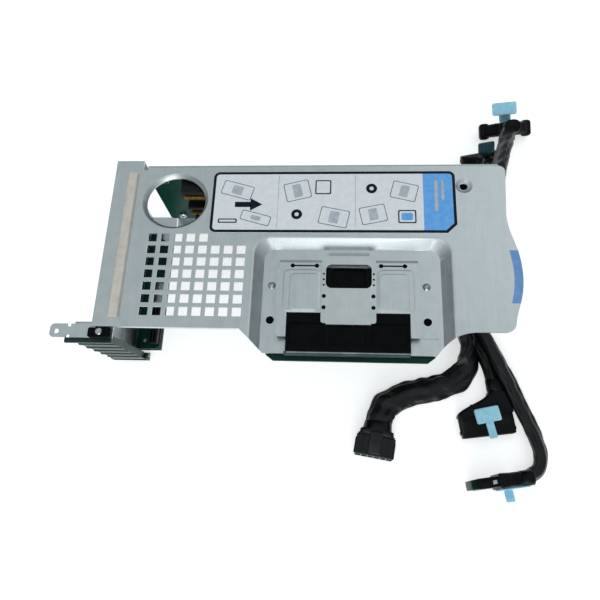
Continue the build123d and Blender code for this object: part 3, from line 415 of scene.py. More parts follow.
def broken_block(form, x, y, z, edge=0.3):
    """A block between pairs of sides, with all its edges rounded."""
    made = bmesh.ops.create_cube(form, size=1)["verts"]
    sides = [pair[1] - pair[0] for pair in (x, y, z)]
    middle = [(pair[0] + pair[1]) / 2 for pair in (x, y, z)]
    bmesh.ops.scale(form, vec=sides, verts=made)
    bmesh.ops.translate(form, vec=middle, verts=made)
    if not edge:
        return made
    edges = list({e for v in made for e in v.link_edges})
    rounded = bmesh.ops.bevel(form, geom=edges, offset=edge, segments=2, profile=0.5, affect="EDGES",
                              material=-1)
    return list({v for face in rounded["faces"] for v in face.verts} | {v for v in made if v.is_valid})


def next_ring(form, ring):
    """Draws a ring of numbered vertices out by one step, and gives the new ring and its faces."""
    edges = [e for e in form.edges if e.verts[0] in ring and e.verts[1] in ring]
    made = bmesh.ops.extrude_edge_only(form, edges=edges)["geom"]
    fresh = {}
    for v in made:
        if isinstance(v, bmesh.types.BMVert):
            old = next(e.other_vert(v) for e in v.link_edges if e.other_vert(v) in ring)
            fresh[v] = ring[old]
    return fresh, [f for f in made if isinstance(f, bmesh.types.BMFace)]


def close_ring(form, ring):
    edges = [e for e in form.edges if e.verts[0] in ring and e.verts[1] in ring]
    bmesh.ops.edgeloop_fill(form, edges=edges)


def around(form, ring, sides, y, z, width, thick, corner, x=0.0):
    """Sets a ring as a rounded section across Y. A corner of 1 is round, and 0.1 nearly square."""
    for v, j in ring.items():
        angle = 2 * math.pi * (j + 0.5) / sides
        c, s = math.cos(angle), math.sin(angle)
        v.co = Vector((x + math.copysign(abs(c) ** corner, c) * width / 2, y,
                       z + math.copysign(abs(s) ** corner, s) * thick / 2))


def loft(sections, sides=40, matrix=None):
    """A closed form through sections (y, z, width, thickness, corner, x) across Y."""
    form = bmesh.new()
    ring = {v: j for j, v in enumerate(bmesh.ops.create_circle(form, segments=sides, radius=1)["verts"])}
    around(form, ring, sides, *sections[0])
    close_later = [ring]
    for section in sections[1:]:
        ring, _ = next_ring(form, ring)
        around(form, ring, sides, *section)
    close_later.append(ring)
    for end in close_later:
        close_ring(form, end)
    bmesh.ops.recalc_face_normals(form, faces=form.faces)
    if matrix:
        move(form, matrix)
    return form


def seat(place, heading, pitch=0.0, roll=0.0, thick=PLUG_THICK):
    """Where a plug lies: its lead end's middle, and its turns in degrees."""
    return (Matrix.Translation(place) @ Matrix.Rotation(math.radians(heading - 90), 4, "Z")
            @ Matrix.Rotation(math.radians(pitch), 4, "X") @ Matrix.Rotation(math.radians(roll), 4, "Y")
            @ Matrix.Translation((0, 0, -thick / 2)))


def to_row(form):
    """Moves a form from the builder's frame to the row's."""
    move(form, Matrix.Scale(0.001, 4) @ Matrix.Translation(-ORIGIN))
    bmesh.ops.recalc_face_normals(form, faces=form.faces)


def smooth_line(name, points, fineness=12):
    """Points along a route's smooth line, read from its spline, in metres."""
    curve = bpy.data.curves.new(name, "CURVE")
    curve.dimensions = "3D"
    spline = curve.splines.new("NURBS")
    spline.points.add(len(points) - 1)
    for knot, point in zip(spline.points, points):
        knot.co = (*at(*point), 1)
    spline.order_u = 3
    spline.use_endpoint_u = True
    spline.resolution_u = fineness
    holder = bpy.data.objects.new(name, curve)
    mesh = bpy.data.meshes.new_from_object(holder)
    line = [v.co.copy() for v in mesh.vertices]
    bpy.data.meshes.remove(mesh)
    bpy.data.objects.remove(holder)
    bpy.data.curves.remove(curve)
    return line


def along(line):
    """The distance of each point along a line."""
    marks = [0.0]
    for a, b in zip(line, line[1:]):
        marks.append(marks[-1] + (b - a).length)
    return marks


def blend_between(stops, share):
    """A value between (share, value) stops."""
    for (a, low), (b, high) in zip(stops, stops[1:]):
        if share <= b:
            step = (share - a) / (b - a)
            step = step * step * (3 - 2 * step)
            return low + (high - low) * step
    return stops[-1][1]


def sleeve(name, points, wide, thick, tilt, fold_mm, seed, sides=40):
    """A flattened sleeve along a route.

    wide, thick and tilt are stops of (share of the length, value). tilt is the turn of the wide
    side from level, in degrees. Lengthwise folds and small puckers make it look like cloth.
    """
    line = smooth_line(name, points)
    marks = along(line)
    form = bmesh.new()
    uv = form.loops.layers.uv.new("UVMap")
    ring = bmesh.ops.create_circle(form, segments=sides, radius=1)["verts"]
    order = {v: j for j, v in enumerate(ring)}
    rows = []

    def lay(vertices, i):
        before = line[max(i - 1, 0)]
        after = line[min(i + 1, len(line) - 1)]
        ahead = (after - before).normalized()
        level = ahead.cross(Vector((0, 0, 1)))
        level = level.normalized() if level.length > 0.05 else Vector((1, 0, 0))
        upright = level.cross(ahead).normalized()
        share = marks[i] / marks[-1]
        lean = math.radians(blend_between(tilt, share))
        broad = level * math.cos(lean) + upright * math.sin(lean)
        narrow = upright * math.cos(lean) - level * math.sin(lean)
        half_wide = blend_between(wide, share) / 2
        half_thick = blend_between(thick, share) / 2
        for v, j in vertices.items():
            angle = 2 * math.pi * j / sides
            c, s = math.cos(angle), math.sin(angle)
            distance = marks[i] * 1000
            fold = (math.cos(5 * angle + seed + distance * 0.03) * 0.5
                    + math.cos(9 * angle - seed * 2 + distance * 0.045) * 0.35)
            pucker = noise.noise(Vector((c * 1.6, s * 1.6 + seed, distance * 0.16)))
            ease = min(1.0, distance / 6, (marks[-1] * 1000 - distance) / 6 + 0.15)
            wrinkle = math.cos(2 * angle + distance * 0.42 + seed) * math.sin(distance * 0.07 + seed)
            out = 1 + ease * fold_mm * (fold + 1.2 * pucker + 0.45 * wrinkle) / max(half_thick, 3)
            x = math.copysign(abs(c) ** SLEEVE_SQUARE, c) * half_wide * out
            y = math.copysign(abs(s) ** SLEEVE_SQUARE, s) * half_thick * out
            v.co = line[i] + (broad * x + narrow * y) / 1000
            v.co.z = max(v.co.z, FLOOR_GAP * (1 + 0.5 * abs(s)))      # it lies flat on the floor

    lay(order, 0)
    rows.append(order)
    for i in range(1, len(line)):
        fresh, faces = next_ring(form, order)
        lay(fresh, i)
        for face in faces:
            ids = [fresh.get(loop.vert, order.get(loop.vert)) for loop in face.loops]
            wraps = max(ids) - min(ids) > 1
            for loop, j in zip(face.loops, ids):
                u = (sides if wraps and j == 0 else j) / sides
                v = marks[i] if loop.vert in fresh else marks[i - 1]
                loop[uv].uv = (u, v)
        order = fresh
        rows.append(order)
    close_ring(form, rows[0])
    close_ring(form, rows[-1])
    bmesh.ops.recalc_face_normals(form, faces=form.faces)
    return form, line, marks[-1]


POWER_ROUTE = [(164, 92, -46), (164, 76, -46), (173, 61, -48), (190, 49, -53), (207, 41, -57),
               (220, 32, -60.5), (229.5, 20.5, -62.5), (232.8, 6, -67.5), (230.5, -5.5, -70.4),
               (221.5, -14.5, -70.4), (206.5, -18.8, -70.4), (189.5, -22.6, -70.4), (178, -29, -70.4),
               (173, -38, -70.4), (171.2, -47, -70.4)]
ROUTE_A = [(199, 92, -49), (199, 78, -49), (207, 62.5, -54.5), (217, 48.5, -62.5), (227, 34, -71),
           (235.5, 20.5, -71), (242.5, 7, -71), (247.5, -6, -71), (249.5, -19.5, -71)]
ROUTE_B = [(199, 92, -36), (199, 78, -36), (206, 61, -42), (217, 47, -50), (229.5, 34, -57),
           (240, 20, -61), (248.5, 4, -64), (256.5, -13, -66.5), (264.5, -30, -71), (271.5, -46, -71.2),
           (275, -61, -71.2), (270, -71.5, -71.2), (258, -74.4, -70)]
ROUTE_C = [(230, 99.25, -48), (240, 99.25, -48), (248, 103.5, -48.5), (253.5, 112, -48.5),
           (255, 123, -47), (254, 133, -48.5), (253, 141, -53.5), (252.5, 148.5, -59.8)]
ROUTE_D = [(230, 99.25, -25), (239.5, 99.25, -25), (246.6, 104, -27), (249.6, 113, -29.5),
           (252.4, 124.5, -33), (256, 136.5, -38), (260, 149, -43.5), (265, 163, -50.5),
           (270, 177.5, -58.2)]
PLUG_SEATS = {
    "a": seat((239, -20.2, GROUND + PLUG_THICK / 2 + PLUG_RISE), -82),
    "b": seat((258, -74.4, GROUND + 12), -170.5, roll=-90),
    "c": seat((252.5, 148.5, -59.8), 101, pitch=-42.5),
    "d": seat((270, 177.5, -57.8), 96, pitch=-62.6),
}
POWER_PLUG_THICK = 11.6
POWER_SEAT = seat((171.2, -47, GROUND + POWER_PLUG_THICK / 2), -99, thick=POWER_PLUG_THICK)


# Settings

def hex_colour(name, description, default):
    return bpy.props.StringProperty(name=name, description=description, default=default)


def millimetres(name, description, default, low, high):
    return bpy.props.FloatProperty(name=name, description=description + ", in mm", default=default, min=low,
                                   max=high)


class RiserColours(bpy.types.PropertyGroup):
    """Colours that a user would change, as sRGB hex values."""
    sheet_low: hex_colour("Sheet, dark tone", "Darker tone of the zinc coating", "#C3CBCE")
    sheet_high: hex_colour("Sheet, pale tone", "Paler tone of the zinc coating", "#D0D7D9")
    label_blue: hex_colour("Label blue", "Blue end panel of the label", "#5FADFC")
    touch_blue: hex_colour("Touch blue", "Film that marks where to grip", "#689BD6")
    tab_blue: hex_colour("Tab blue", "Pull strips of the plugs", "#9CDDF8")
    # The sleeve's two tones: the dark one is painted shade in the gaps between threads, the pale one a painted
    # highlight on their crowns
    sleeve_gap_shade_tone: hex_colour("Sleeve, dark tone", "Gaps between the braid's threads", "#020304")
    sleeve_crown_highlight_tone: hex_colour("Sleeve, pale tone", "Crowns of the braid's threads", "#0B0E10")


class RiserSizes(bpy.types.PropertyGroup):
    """Sizes that a user would change."""
    edge_break: millimetres("Broken edge", "Rounding along cut sheet edges", 0.25, 0.0, 0.6)
    power_width: millimetres("Power sleeve width", "Flat width of the power sleeve", 16.2, 8.0, 20.0)
    signal_width: millimetres("Signal sleeve width", "Width of a signal sleeve", 10.5, 6.0, 14.0)
    label_border: millimetres("Label border", "Width of the label's dark border", 1.9, 0.5, 4.0)
    sun: bpy.props.FloatProperty(name="Key light", description="Strength of the key light, in watts",
                                 default=5.0, min=0.0, max=100.0, unit="POWER")


# Operators

finishes = {}


def place_piece(form, name, finish, replaced=(), smooth=True):
    """Turns a form in the builder's frame into a piece of the riser."""
    to_row(form)
    finish_mesh(form, name, finishes[finish], "riser", smooth=smooth, replaced=replaced)


def dress_all(*rows):
    """Dresses nodes from rows of node, finish and, where asked, broken edge."""
    for node, finish, *edge in rows:
        dress(node, finishes[finish], *edge)


class RISER_OT_sheet_metal(bpy.types.Operator):
    """Dress the top plate, the rear frame and the slot fillers"""
    bl_idname = "riser.sheet_metal"
    bl_label = "Sheet metal"

    def execute(self, context):
        edge = context.scene.riser_sizes.edge_break
        for node in ("top_plate", "rear_frame"):
            dress(node, finishes["galvanised_steel"], edge)
        for i in range(3):
            dress(f"slot_filler_{i + 1}", finishes["filler_steel"], 0.15)
        return {"FINISHED"}


class RISER_OT_gasket(bpy.types.Operator):
    """Dress the conductive gasket and the blue touch film"""
    bl_idname = "riser.gasket"
    bl_label = "Gasket and touch film"

    def execute(self, context):
        dress("emi_gasket", finishes["gasket_fabric"])
        dress("touch_patch", finishes["blue_film"])
        return {"FINISHED"}


class RISER_OT_label(bpy.types.Operator):
    """Print plain shapes and fields of colour on the label"""
    bl_idname = "riser.label"
    bl_label = "Label"

    left, right, near, far = 65.0, 216.3, 61.5, 104.3
    dividers = (107.0, 155.0, 196.5)

    def field(self, name, ink, draw):
        form = bmesh.new()
        draw(form)
        place_piece(form, name, ink, smooth=False)

    def cornered(self, form, x, y, rounded, radius, cut, low):
        """A rectangle with a cut corner at the right near side and some round corners."""
        patch = bmesh.ops.create_grid(form, x_segments=1, y_segments=1, size=0.5)["verts"]
        bmesh.ops.scale(form, vec=(x[1] - x[0], y[1] - y[0], 1), verts=patch)
        cut_corner = [v for v in patch if v.co.x > 0 and v.co.y < 0]
        round_corners = [v for v in patch if v not in cut_corner and (rounded == "all" or v.co.x > 0)]
        bmesh.ops.bevel(form, geom=cut_corner, offset=cut, segments=1, profile=0.5, affect="VERTICES",
                        material=-1)
        bmesh.ops.bevel(form, geom=round_corners, offset=radius, segments=8, profile=0.5,
                        affect="VERTICES", material=-1)
        thicken(form, form.faces[:], INK_THICK)
        bmesh.ops.translate(form, vec=((x[0] + x[1]) / 2, (y[0] + y[1]) / 2, low), verts=form.verts)

    def execute(self, context):
        dress("service_label", finishes["label_film"])
        border = context.scene.riser_sizes.label_border
        blue_left = self.dividers[2]
        inner_near, inner_far = self.near + border, self.far - border
        # The ink's layers, lowest first
        border_low, white, blue_low, marks = FILM_TOP, 0.18, 0.2, 0.21
        bars, faces, bands, arrow = 0.23, 0.24, 0.27, 0.31

        def border_field(form):
            self.cornered(form, (self.left + 0.1, self.right - 0.1), (self.near + 0.1, self.far - 0.1),
                          "all", 3.9, 5.7, border_low)

        def white_field(form):
            plate(form, (self.left + border, blue_left + 1), (inner_near, inner_far), 2.0, low=white)

        def blue_field(form):
            self.cornered(form, (blue_left, self.right - border), (inner_near, inner_far), "right", 2.2,
                          4.8, blue_low)

        def divider_lines(form):
            for x in self.dividers[:2]:
                plate(form, (x - 0.2, x + 0.2), (inner_near + 1, inner_far - 1), low=marks)

        cards = [((71, 91), (86, 96), -16), ((84, 103), (68, 75), -16), ((111, 127), (84, 97), 14),
                 ((133, 151), (66, 78), -12), ((158, 174), (68, 80), 12), ((177, 193), (84, 96), -14)]
        steps = [((70, 82), (68, 71)), ((130, 140), (88, 98)), ((181, 192), (68, 77))]

        def grey_marks(form):
            for x, y, turn in cards:
                plate(form, x, y, 1.2, turn=turn, low=marks)

        def card_faces(form):
            for x, y, turn in cards:
                plate(form, (x[0] + 0.5, x[1] - 0.5), (y[0] + 0.5, y[1] - 0.5), 0.9, turn=turn, low=faces)

        def card_bands(form):
            for x, y, turn in cards:
                third = (x[1] - x[0]) / 3
                plate(form, (x[0] + third, x[1] - third), (y[0] + 2, y[1] - 2), 0.6, turn=turn,
                      low=bands)

        def dark_marks(form):
            for x, y in steps:
                plate(form, x, y, 1.0, low=marks)
            # An arrow: its shaft and its head
            plate(form, (80, 90), (79, 82.6), low=arrow)
            disc(form, 92.2, 80.8, 5.0, sides=3, low=arrow, turn=-90)
            disc(form, 119, 74, 3.4, low=marks)
            disc(form, 165, 92, 3.4, low=marks)

        def white_marks(form):
            for x, y in steps:
                plate(form, (x[0] + 0.8, x[1] - 0.8), (y[0] + 0.8, y[1] - 0.8), 0.6, low=faces)
            disc(form, 119, 74, 1.3, low=faces)
            disc(form, 165, 92, 1.3, low=faces)

        def pale_bars(form):
            plate(form, (203.4, 205.4), (76, 98), 0.9, low=bars)
            plate(form, (207.6, 209.2), (84, 98), 0.7, low=bars)

        def blue_marks(form):
            plate(form, (183, 190), (70, 75), 1.2, low=bands)

        for name, ink, draw in (
                ("border", "ink_black", border_field), ("white_field", "label_film", white_field),
                ("blue_field", "ink_blue", blue_field), ("dividers", "ink_pale", divider_lines),
                ("card_outlines", "ink_grey", grey_marks), ("card_faces", "label_film", card_faces),
                ("card_bands", "ink_pale", card_bands), ("dark_shapes", "ink_black", dark_marks),
                ("white_shapes", "label_film", white_marks), ("pale_bars", "ink_pale", pale_bars),
                ("blue_shapes", "ink_blue", blue_marks)):
            self.field("label_" + name, ink, draw)
        return {"FINISHED"}


class RISER_OT_latch(bpy.types.Operator):
    """Dress the retention latch, its foot, its catch and its pin"""
    bl_idname = "riser.latch"
    bl_label = "Retention latch"

    def execute(self, context):
        dress_all(("retention_latch", "latch_plastic", 0.3), ("latch_base", "latch_plastic", 0.2),
                  ("latch_catch", "black_plastic", 0.2), ("latch_pin", "pin_steel"),
                  ("latch_screw", "screw_steel"))
        return {"FINISHED"}


class RISER_OT_pocket(bpy.types.Operator):
    """Dress the bracket, strap, retainer and board in the pocket"""
    bl_idname = "riser.pocket"
    bl_label = "Pocket"

    def execute(self, context):
        # The adapter spacers are near-black as painted shade, so that the bracket holes over them read dark
        dress_all(("retainer_bracket", "galvanised_steel", 0.3), ("spring_strap", "spring_steel", 0.2),
                  ("bracket_rivets", "pin_steel"), ("card_retainer", "black_plastic", 0.3),
                  ("retainer_lip", "grey_plastic", 0.2), ("adapter_board", "circuit_board"),
                  ("adapter_spacers", "black_steel"))
        # A thin paler bar along the lip's top: a painted highlight line
        along_lip = Matrix.Translation((0, -12.6, -3.2)) @ Matrix.Rotation(-math.pi / 2, 4, "Z")
        highlight_bead_ends = ((116, 0.5), (116.4, 0.9), (186, 0.9), (186.4, 0.5))
        highlight_bead = loft([(x, 0, thick, thick, 1) for x, thick in highlight_bead_ends], sides=16, matrix=along_lip)
        place_piece(highlight_bead, "retainer_highlight_bead", "highlight_bead_plastic")
        steps = bmesh.new()
        low_step, high_step = ((BRACKET_TOP + a, BRACKET_TOP + b) for a, b in ((-0.05, 0.35), (0.3, 0.62)))
        for sides in ((112.4, 135.1), (167.9, 190.2)):
            raised_step(steps, sides, (10.6, 37.9), low_step, 1.1, 3.4)
        for sides in ((116.3, 134.5), (169.0, 187.1)):
            raised_step(steps, sides, (11.6, 35.2), high_step, 0.9, 3.2)
        place_piece(steps, "bracket_pad_steps", "galvanised_steel", smooth=False)
        # Thin dark discs: painted shade for small holes in the strap and bracket, and inside the bracket's two
        # driver holes so that they read dark
        painted_hole_shades = bmesh.new()
        strap_columns, relief_ends, relief_y = ((137.1, -1), (165.9, 1)), (118, 132.5, 170.5, 184.5), 40
        for x, outward in strap_columns:
            for y in (13.5, 20.5):
                disc(painted_hole_shades, x, y, 1.25, sides=20, low=STRAP_TOP)
            for y in (27.5, 31, 34.5):
                disc(painted_hole_shades, x + outward * 0.3, y, 0.65, sides=12, low=STRAP_TOP)
        for x in relief_ends:
            disc(painted_hole_shades, x, relief_y, 1.35, sides=20, low=BRACKET_TOP)
        for x in BRACKET_HOLES:
            disc(painted_hole_shades, x, 6.8, 2.35, sides=24, low=POCKET_FLOOR + 0.1)
        place_piece(painted_hole_shades, "pocket_dark_painted_hole_shades", "black_steel")
        return {"FINISHED"}


class RISER_OT_boards(bpy.types.Operator):
    """Dress the riser card, its parts and the board at the foot of the rear frame"""
    bl_idname = "riser.boards"
    bl_label = "Boards"

    def execute(self, context):
        dress_all(("riser_card", "circuit_board"), ("rear_board", "circuit_board"),
                  ("rear_board_connector", "connector_plastic", 0.15),
                  ("rear_board_spacers", "screw_steel"), ("card_spacers", "screw_steel"),
                  ("card_screws", "screw_steel"),
                  ("retimer_chips", "chip_plastic"), ("card_capacitors", "capacitor_can"))
        sockets = [f"card_slot_{i}" for i in (1, 2, 3)] + ["power_inlet"]
        for node in sockets + [f"signal_inlet_{letter}" for letter in "abcd"]:
            dress(node, finishes["connector_plastic"], 0.2)
        self.small_parts()
        self.slot_contacts()
        return {"FINISHED"}

    def small_parts(self):
        """Ceramic capacitors and resistors between the card slots and above the near board."""
        form = bmesh.new()
        depth = (CARD_CORNER.y - 0.7, CARD_CORNER.y + 0.02)
        first, pitch, edge = 46, 4.2, 0.1
        for row, z in enumerate((-30.3, -50.6)):
            for i in range(20):
                x = first + i * pitch + (i * 7 % 3) * 0.4
                long = 1.6 if (i + row) % 3 else 2.4
                broken_block(form, (x, x + long), depth, (z - 0.5, z + 0.5), edge)
        highest, column_pitch = -18, 4.6
        for i in range(8):
            z = highest - i * column_pitch
            broken_block(form, (133.5, 134.7), depth, (z - 0.9, z + 0.9), edge)
        place_piece(form, "card_small_parts", "ceramic", smooth=False)

    def slot_contacts(self):
        """Spring contacts that show as a gold row on both sides of each card slot's groove."""
        for i in range(3):
            low, high = (Vector(corner) * 1000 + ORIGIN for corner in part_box(f"card_slot_{i + 1}"))
            middle = (low.z + high.z) / 2
            form = bmesh.new()
            ways, pitch, groove_half = 72, 1.17, 0.78
            for step in range(ways):
                x = low.x + 2.6 + step * pitch
                if x > high.x - 3:
                    break
                for side in (-1, 1):
                    z = middle + side * groove_half
                    broken_block(form, (x - 0.3, x + 0.3), (low.y + 0.9, low.y + 5),
                                 (z - 0.12, z + 0.12), edge=0)
            place_piece(form, f"card_slot_{i + 1}_contacts", "contact_gold",
                        smooth=False)


def plug_piece(form, name, finish, matrix=None, replaced=(), smooth=True):
    """Turns a form into a piece of a plug, set on its seat where that is given."""
    if matrix:
        move(form, matrix)
    place_piece(form, name, finish, replaced, smooth)


class RISER_OT_plugs(bpy.types.Operator):
    """Make the plugs with their cuffs, contacts and pull strips"""
    bl_idname = "riser.plugs"
    bl_label = "Plugs"

    def boot(self, width, depth, aside):
        """Sections of a signal plug: cuff, flared boot, thinner shell and hollow mouth."""
        middle = PLUG_THICK / 2
        sections = [(-8, middle, 11.2, 9.0, 0.9, aside), (-7.6, middle, 11.8, 9.5, 0.9, aside),
                    (-0.6, middle, 12, 9.6, 0.85, aside), (-0.4, middle, 11, 8.4, 0.7, aside),
                    (0, middle, 11, 8.4, 0.6, aside), (0.3, middle, 12.6, 8.8, 0.5, aside)]
        boot_end = BOOT_DEPTH if depth > 22 else BOOT_DEPTH - 2
        steps = 9
        for i in range(1, steps + 1):
            share = i / steps
            rise = (1 - math.cos(math.pi * min(1, share * 1.08))) / 2
            sections.append((0.6 + (boot_end - 0.9) * share, middle, 12.6 + (width - 12.6) * rise,
                             PLUG_THICK, 0.5 - 0.3 * share, aside * (1 - rise)))
        sections += [(boot_end, middle, width - 0.6, PLUG_THICK - 0.6, 0.2),
                     (boot_end, middle, width - 1.8, SHELL_THICK, 0.15),
                     (depth - 0.4, middle, width - 1.8, SHELL_THICK, 0.15),
                     (depth, middle, width - 2.6, SHELL_THICK - 0.8, 0.15),
                     (depth, middle, width - 4.4, 3.8, 0.12), (depth - 7, middle, width - 4.4, 3.8, 0.12)]
        return sections, boot_end

    def signal_plug(self, letter, width, depth, ears=False, aside=0.0):
        """One plug: its body, its grip ribs and claws, and the board and contacts in its mouth."""
        sections, boot_end = self.boot(width, depth, aside)
        where, middle = PLUG_SEATS[letter], PLUG_THICK / 2
        body = loft(sections, sides=48, matrix=where)
        plug_piece(body, f"plug_{letter}_body", "plug_plastic", replaced=(f"signal_plug_{letter}",))
        trim = bmesh.new()
        rib_pitch, rib_step, rib_sunk = 2.2, 2.4, 0.12
        for side in (rib_sunk, PLUG_THICK - rib_sunk):
            for i in range(3):
                y = boot_end - 2.6 - i * rib_pitch
                half = width / 2 - 4 - i * rib_step
                if half > 3:
                    broken_block(trim, (-half, half), (y - 0.5, y + 0.5), (side - 0.35, side + 0.35), 0.2)
        for side in (-1, 1):
            x = side * (width / 2 - 0.9)
            broken_block(trim, sorted((x - side * 1.2, x + side * 0.5)), (boot_end - 1, depth - 2.5),
                         (middle - 1.6, middle + 1.6), 0.3)
            broken_block(trim, sorted((x, x + side * 0.9)), (depth - 4.5, depth - 2.2),
                         (middle - 1.2, middle + 1.2), 0.3)
        if ears:
            # Latch ears at both ends, thicker than the boot
            for side in (-1, 1):
                broken_block(trim, sorted((side * (width / 2 - 6), side * (width / 2 + 1.4))),
                             (boot_end - 4, boot_end + 3), (-1.5, PLUG_THICK + 1.5), 2.2)
        plug_piece(trim, f"plug_{letter}_trim", "plug_plastic", where)
        paddle = bmesh.new()
        broken_block(paddle, (-width / 2 + 3, width / 2 - 3), (depth - 7.2, depth - 0.8),
                     (middle - 0.6, middle + 0.6), 0.1)
        plug_piece(paddle, f"plug_{letter}_board", "circuit_board", where, smooth=False)
        contacts = bmesh.new()
        contact_pitch = 1.2
        count = int((width - 8) / contact_pitch)
        for i in range(count):
            x = (i - (count - 1) / 2) * contact_pitch
            for z in (middle - 0.66, middle + 0.66):
                broken_block(contacts, (x - 0.32, x + 0.32), (depth - 5.5, depth - 1.2),
                             (z - 0.05, z + 0.05), edge=0)
        plug_piece(contacts, f"plug_{letter}_contacts", "contact_gold", where, smooth=False)

    def edge_plug_end(self):
        """The green insert that sticks out of plug B's mouth, and its steel claw."""
        form = bmesh.new()
        broken_block(form, (-9.5, 9.5), (24, 31.5), (1.7, 7.3), 0.4)
        for i in range(4):
            broken_block(form, (9.3, 9.8), (25.2 + i * 1.6, 25.8 + i * 1.6), (2.2, 6.8), 0.1)
        plug_piece(form, "plug_b_insert", "green_insert", PLUG_SEATS["b"])
        claw = bmesh.new()
        broken_block(claw, (10.6, 11.7), (16.5, 19.2), (3.4, 5.8), 0.3)
        plug_piece(claw, "plug_b_claw", "screw_steel", PLUG_SEATS["b"])

    def strip(self, letter, sections, place, finish="tab_light_blue", part="tab"):
        """A pull strip through (y, z, width) sections, set on its plug."""
        full = [(y, z, width, STRIP_THICK, 0.25) for y, z, width in sections]
        form = loft(full, sides=24, matrix=PLUG_SEATS[letter] @ place)
        replaced = (f"signal_tab_{letter}",) if part == "tab" else ()
        place_piece(form, f"plug_{letter}_{part}", finish, replaced=replaced)

    def power_plug(self):
        """Twelve-way plug: a block with deep cavities, a wire end, a latch lever and side ribs."""
        width, depth, thick = 25.0, 17.0, POWER_PLUG_THICK
        form = bmesh.new()
        bmesh.ops.create_grid(form, x_segments=6, y_segments=2, size=0.5)
        bmesh.ops.scale(form, vec=(width - 1, thick - 1, 1), verts=form.verts)
        cells = form.faces[:]
        border = [e for e in form.edges if e.is_boundary]
        for grow, back in ((1.0, 0.5), (1.0, depth - 4.5), (0.94, depth - 4), (0.94, depth - 3)):
            made = bmesh.ops.extrude_edge_only(form, edges=border)["geom"]
            ring = [v for v in made if isinstance(v, bmesh.types.BMVert)]
            for v in ring:
                if abs(v.co.x) > width / 2 - 1.4:
                    v.co.x = math.copysign(width / 2 * grow, v.co.x)
                if abs(v.co.y) > thick / 2 - 1.2:
                    v.co.y = math.copysign(thick / 2 * grow, v.co.y)
                v.co.z = -back
            border = [e for e in made if isinstance(e, bmesh.types.BMEdge) and e.is_boundary]
        bmesh.ops.edgeloop_fill(form, edges=border)
        bmesh.ops.inset_individual(form, faces=cells, thickness=0.5, depth=0.0)
        way_depth = 8
        sunk = bmesh.ops.extrude_discrete_faces(form, faces=cells)["faces"]
        bmesh.ops.translate(form, vec=(0, 0, -way_depth), verts=list({v for face in sunk for v in face.verts}))
        stand = Matrix.Translation((0, depth, thick / 2)) @ Matrix.Rotation(-math.pi / 2, 4, "X")
        plug_piece(form, "power_plug_body", "power_nylon", POWER_SEAT @ stand, replaced=("power_plug",),
                   smooth=False)
        middle = thick / 2
        wires = loft([(-6, middle, 16.8, 10.2, 0.8), (-5.4, middle, 17.8, 10.8, 0.8),
                      (-0.6, middle, 19, 10.8, 0.6), (0, middle, 21.6, 10.8, 0.3),
                      (3.4, middle, 22.4, 10.8, 0.2)], matrix=POWER_SEAT)
        plug_piece(wires, "power_plug_cuff", "shrink_tube")
        trim = bmesh.new()
        # Ribs above and below the walls between the ways, with the lever's place left free
        way_pitch = 4.08
        for x in (-2 * way_pitch, 2 * way_pitch):
            for z in (0.45, thick):
                broken_block(trim, (x - 0.35, x + 0.35), (4.5, depth - 0.6), (z - 0.35, z + 0.35), 0.2)
        for side in (-1, 1):
            broken_block(trim, sorted((side * (width / 2 - 0.2), side * (width / 2 + 0.6))), (6, depth - 1),
                         (middle - 1, middle + 1), 0.3)
        plug_piece(trim, "power_plug_ribs", "power_nylon", POWER_SEAT)
        lever = loft([(1.2, thick + 2.2, 6.6, 0.6, 0.3), (1.6, thick + 2.2, 7.6, 1.2, 0.3),
                      (3.4, thick + 2.0, 7.8, 1.2, 0.3), (7.5, thick + 1.3, 7.8, 1.3, 0.3),
                      (depth - 2, thick + 0.7, 7.8, 1.2, 0.3), (depth - 1.6, thick + 0.6, 7.2, 0.8, 0.3)],
                     sides=24, matrix=POWER_SEAT)
        plug_piece(lever, "power_plug_lever", "power_nylon")
        hinge = loft([(y, thick + 0.4, 5, 1.6, 0.3) for y in (7.2, 9)], sides=24, matrix=POWER_SEAT)
        plug_piece(hinge, "power_plug_hinge", "plug_plastic")

    def execute(self, context):
        self.power_plug()
        self.signal_plug("a", 36, 28, aside=-10.5)
        self.signal_plug("b", 24, 28)
        self.edge_plug_end()
        self.signal_plug("c", 32, 18)
        self.signal_plug("d", 36, 19, ears=True)
        top = PLUG_THICK + 0.45
        half_turn = Matrix.Rotation(math.pi, 4, "Z")
        self.strip("a", [(0, -1.3, 4.4), (0.5, -1.3, 5), (8.5, -1.3, 5), (9.5, -0.9, 5), (10, 0, 5),
                         (10, 0, 14.5), (10.8, 0, 16), (18.8, 0, 16), (19.6, 0, 14.5)],
                   Matrix.Translation((-2, 30, top)) @ half_turn @ Matrix.Rotation(math.radians(5), 4, "Z"))
        upright = Matrix.Rotation(math.pi / 2, 4, "X")
        self.strip("b", [(0, 0, 5.4), (7.6, 0.4, 5.6), (8.2, 0.4, 4.6)],
                   Matrix.Translation((0, 8.5, 9)) @ Matrix.Rotation(math.pi / 2, 4, "Z") @ upright)
        self.strip("b", [(0, 0, 4.6), (0.5, 0, 5.4), (20, 0, 5.4), (20.5, 0, 4.6)],
                   Matrix.Translation((0, -5, top)), part="band")
        self.strip("c", [(0, 0, 6), (2.2, 0, 6), (2.2, 0, 10.6), (3.2, 0, 12), (9.2, 0, 12),
                         (10.2, 0, 10.6)],
                   Matrix.Translation((0, 2.5, 8.8)) @ upright, finish="tab_teal")
        self.strip("d", [(0, 0, 8), (5.5, 0, 8.6), (5.5, 0, 16), (6.5, 0, 18), (13.5, 0, 18),
                         (14.5, 0, 16)],
                   Matrix.Translation((-2.5, 2.5, 8.8)) @ upright)
        return {"FINISHED"}


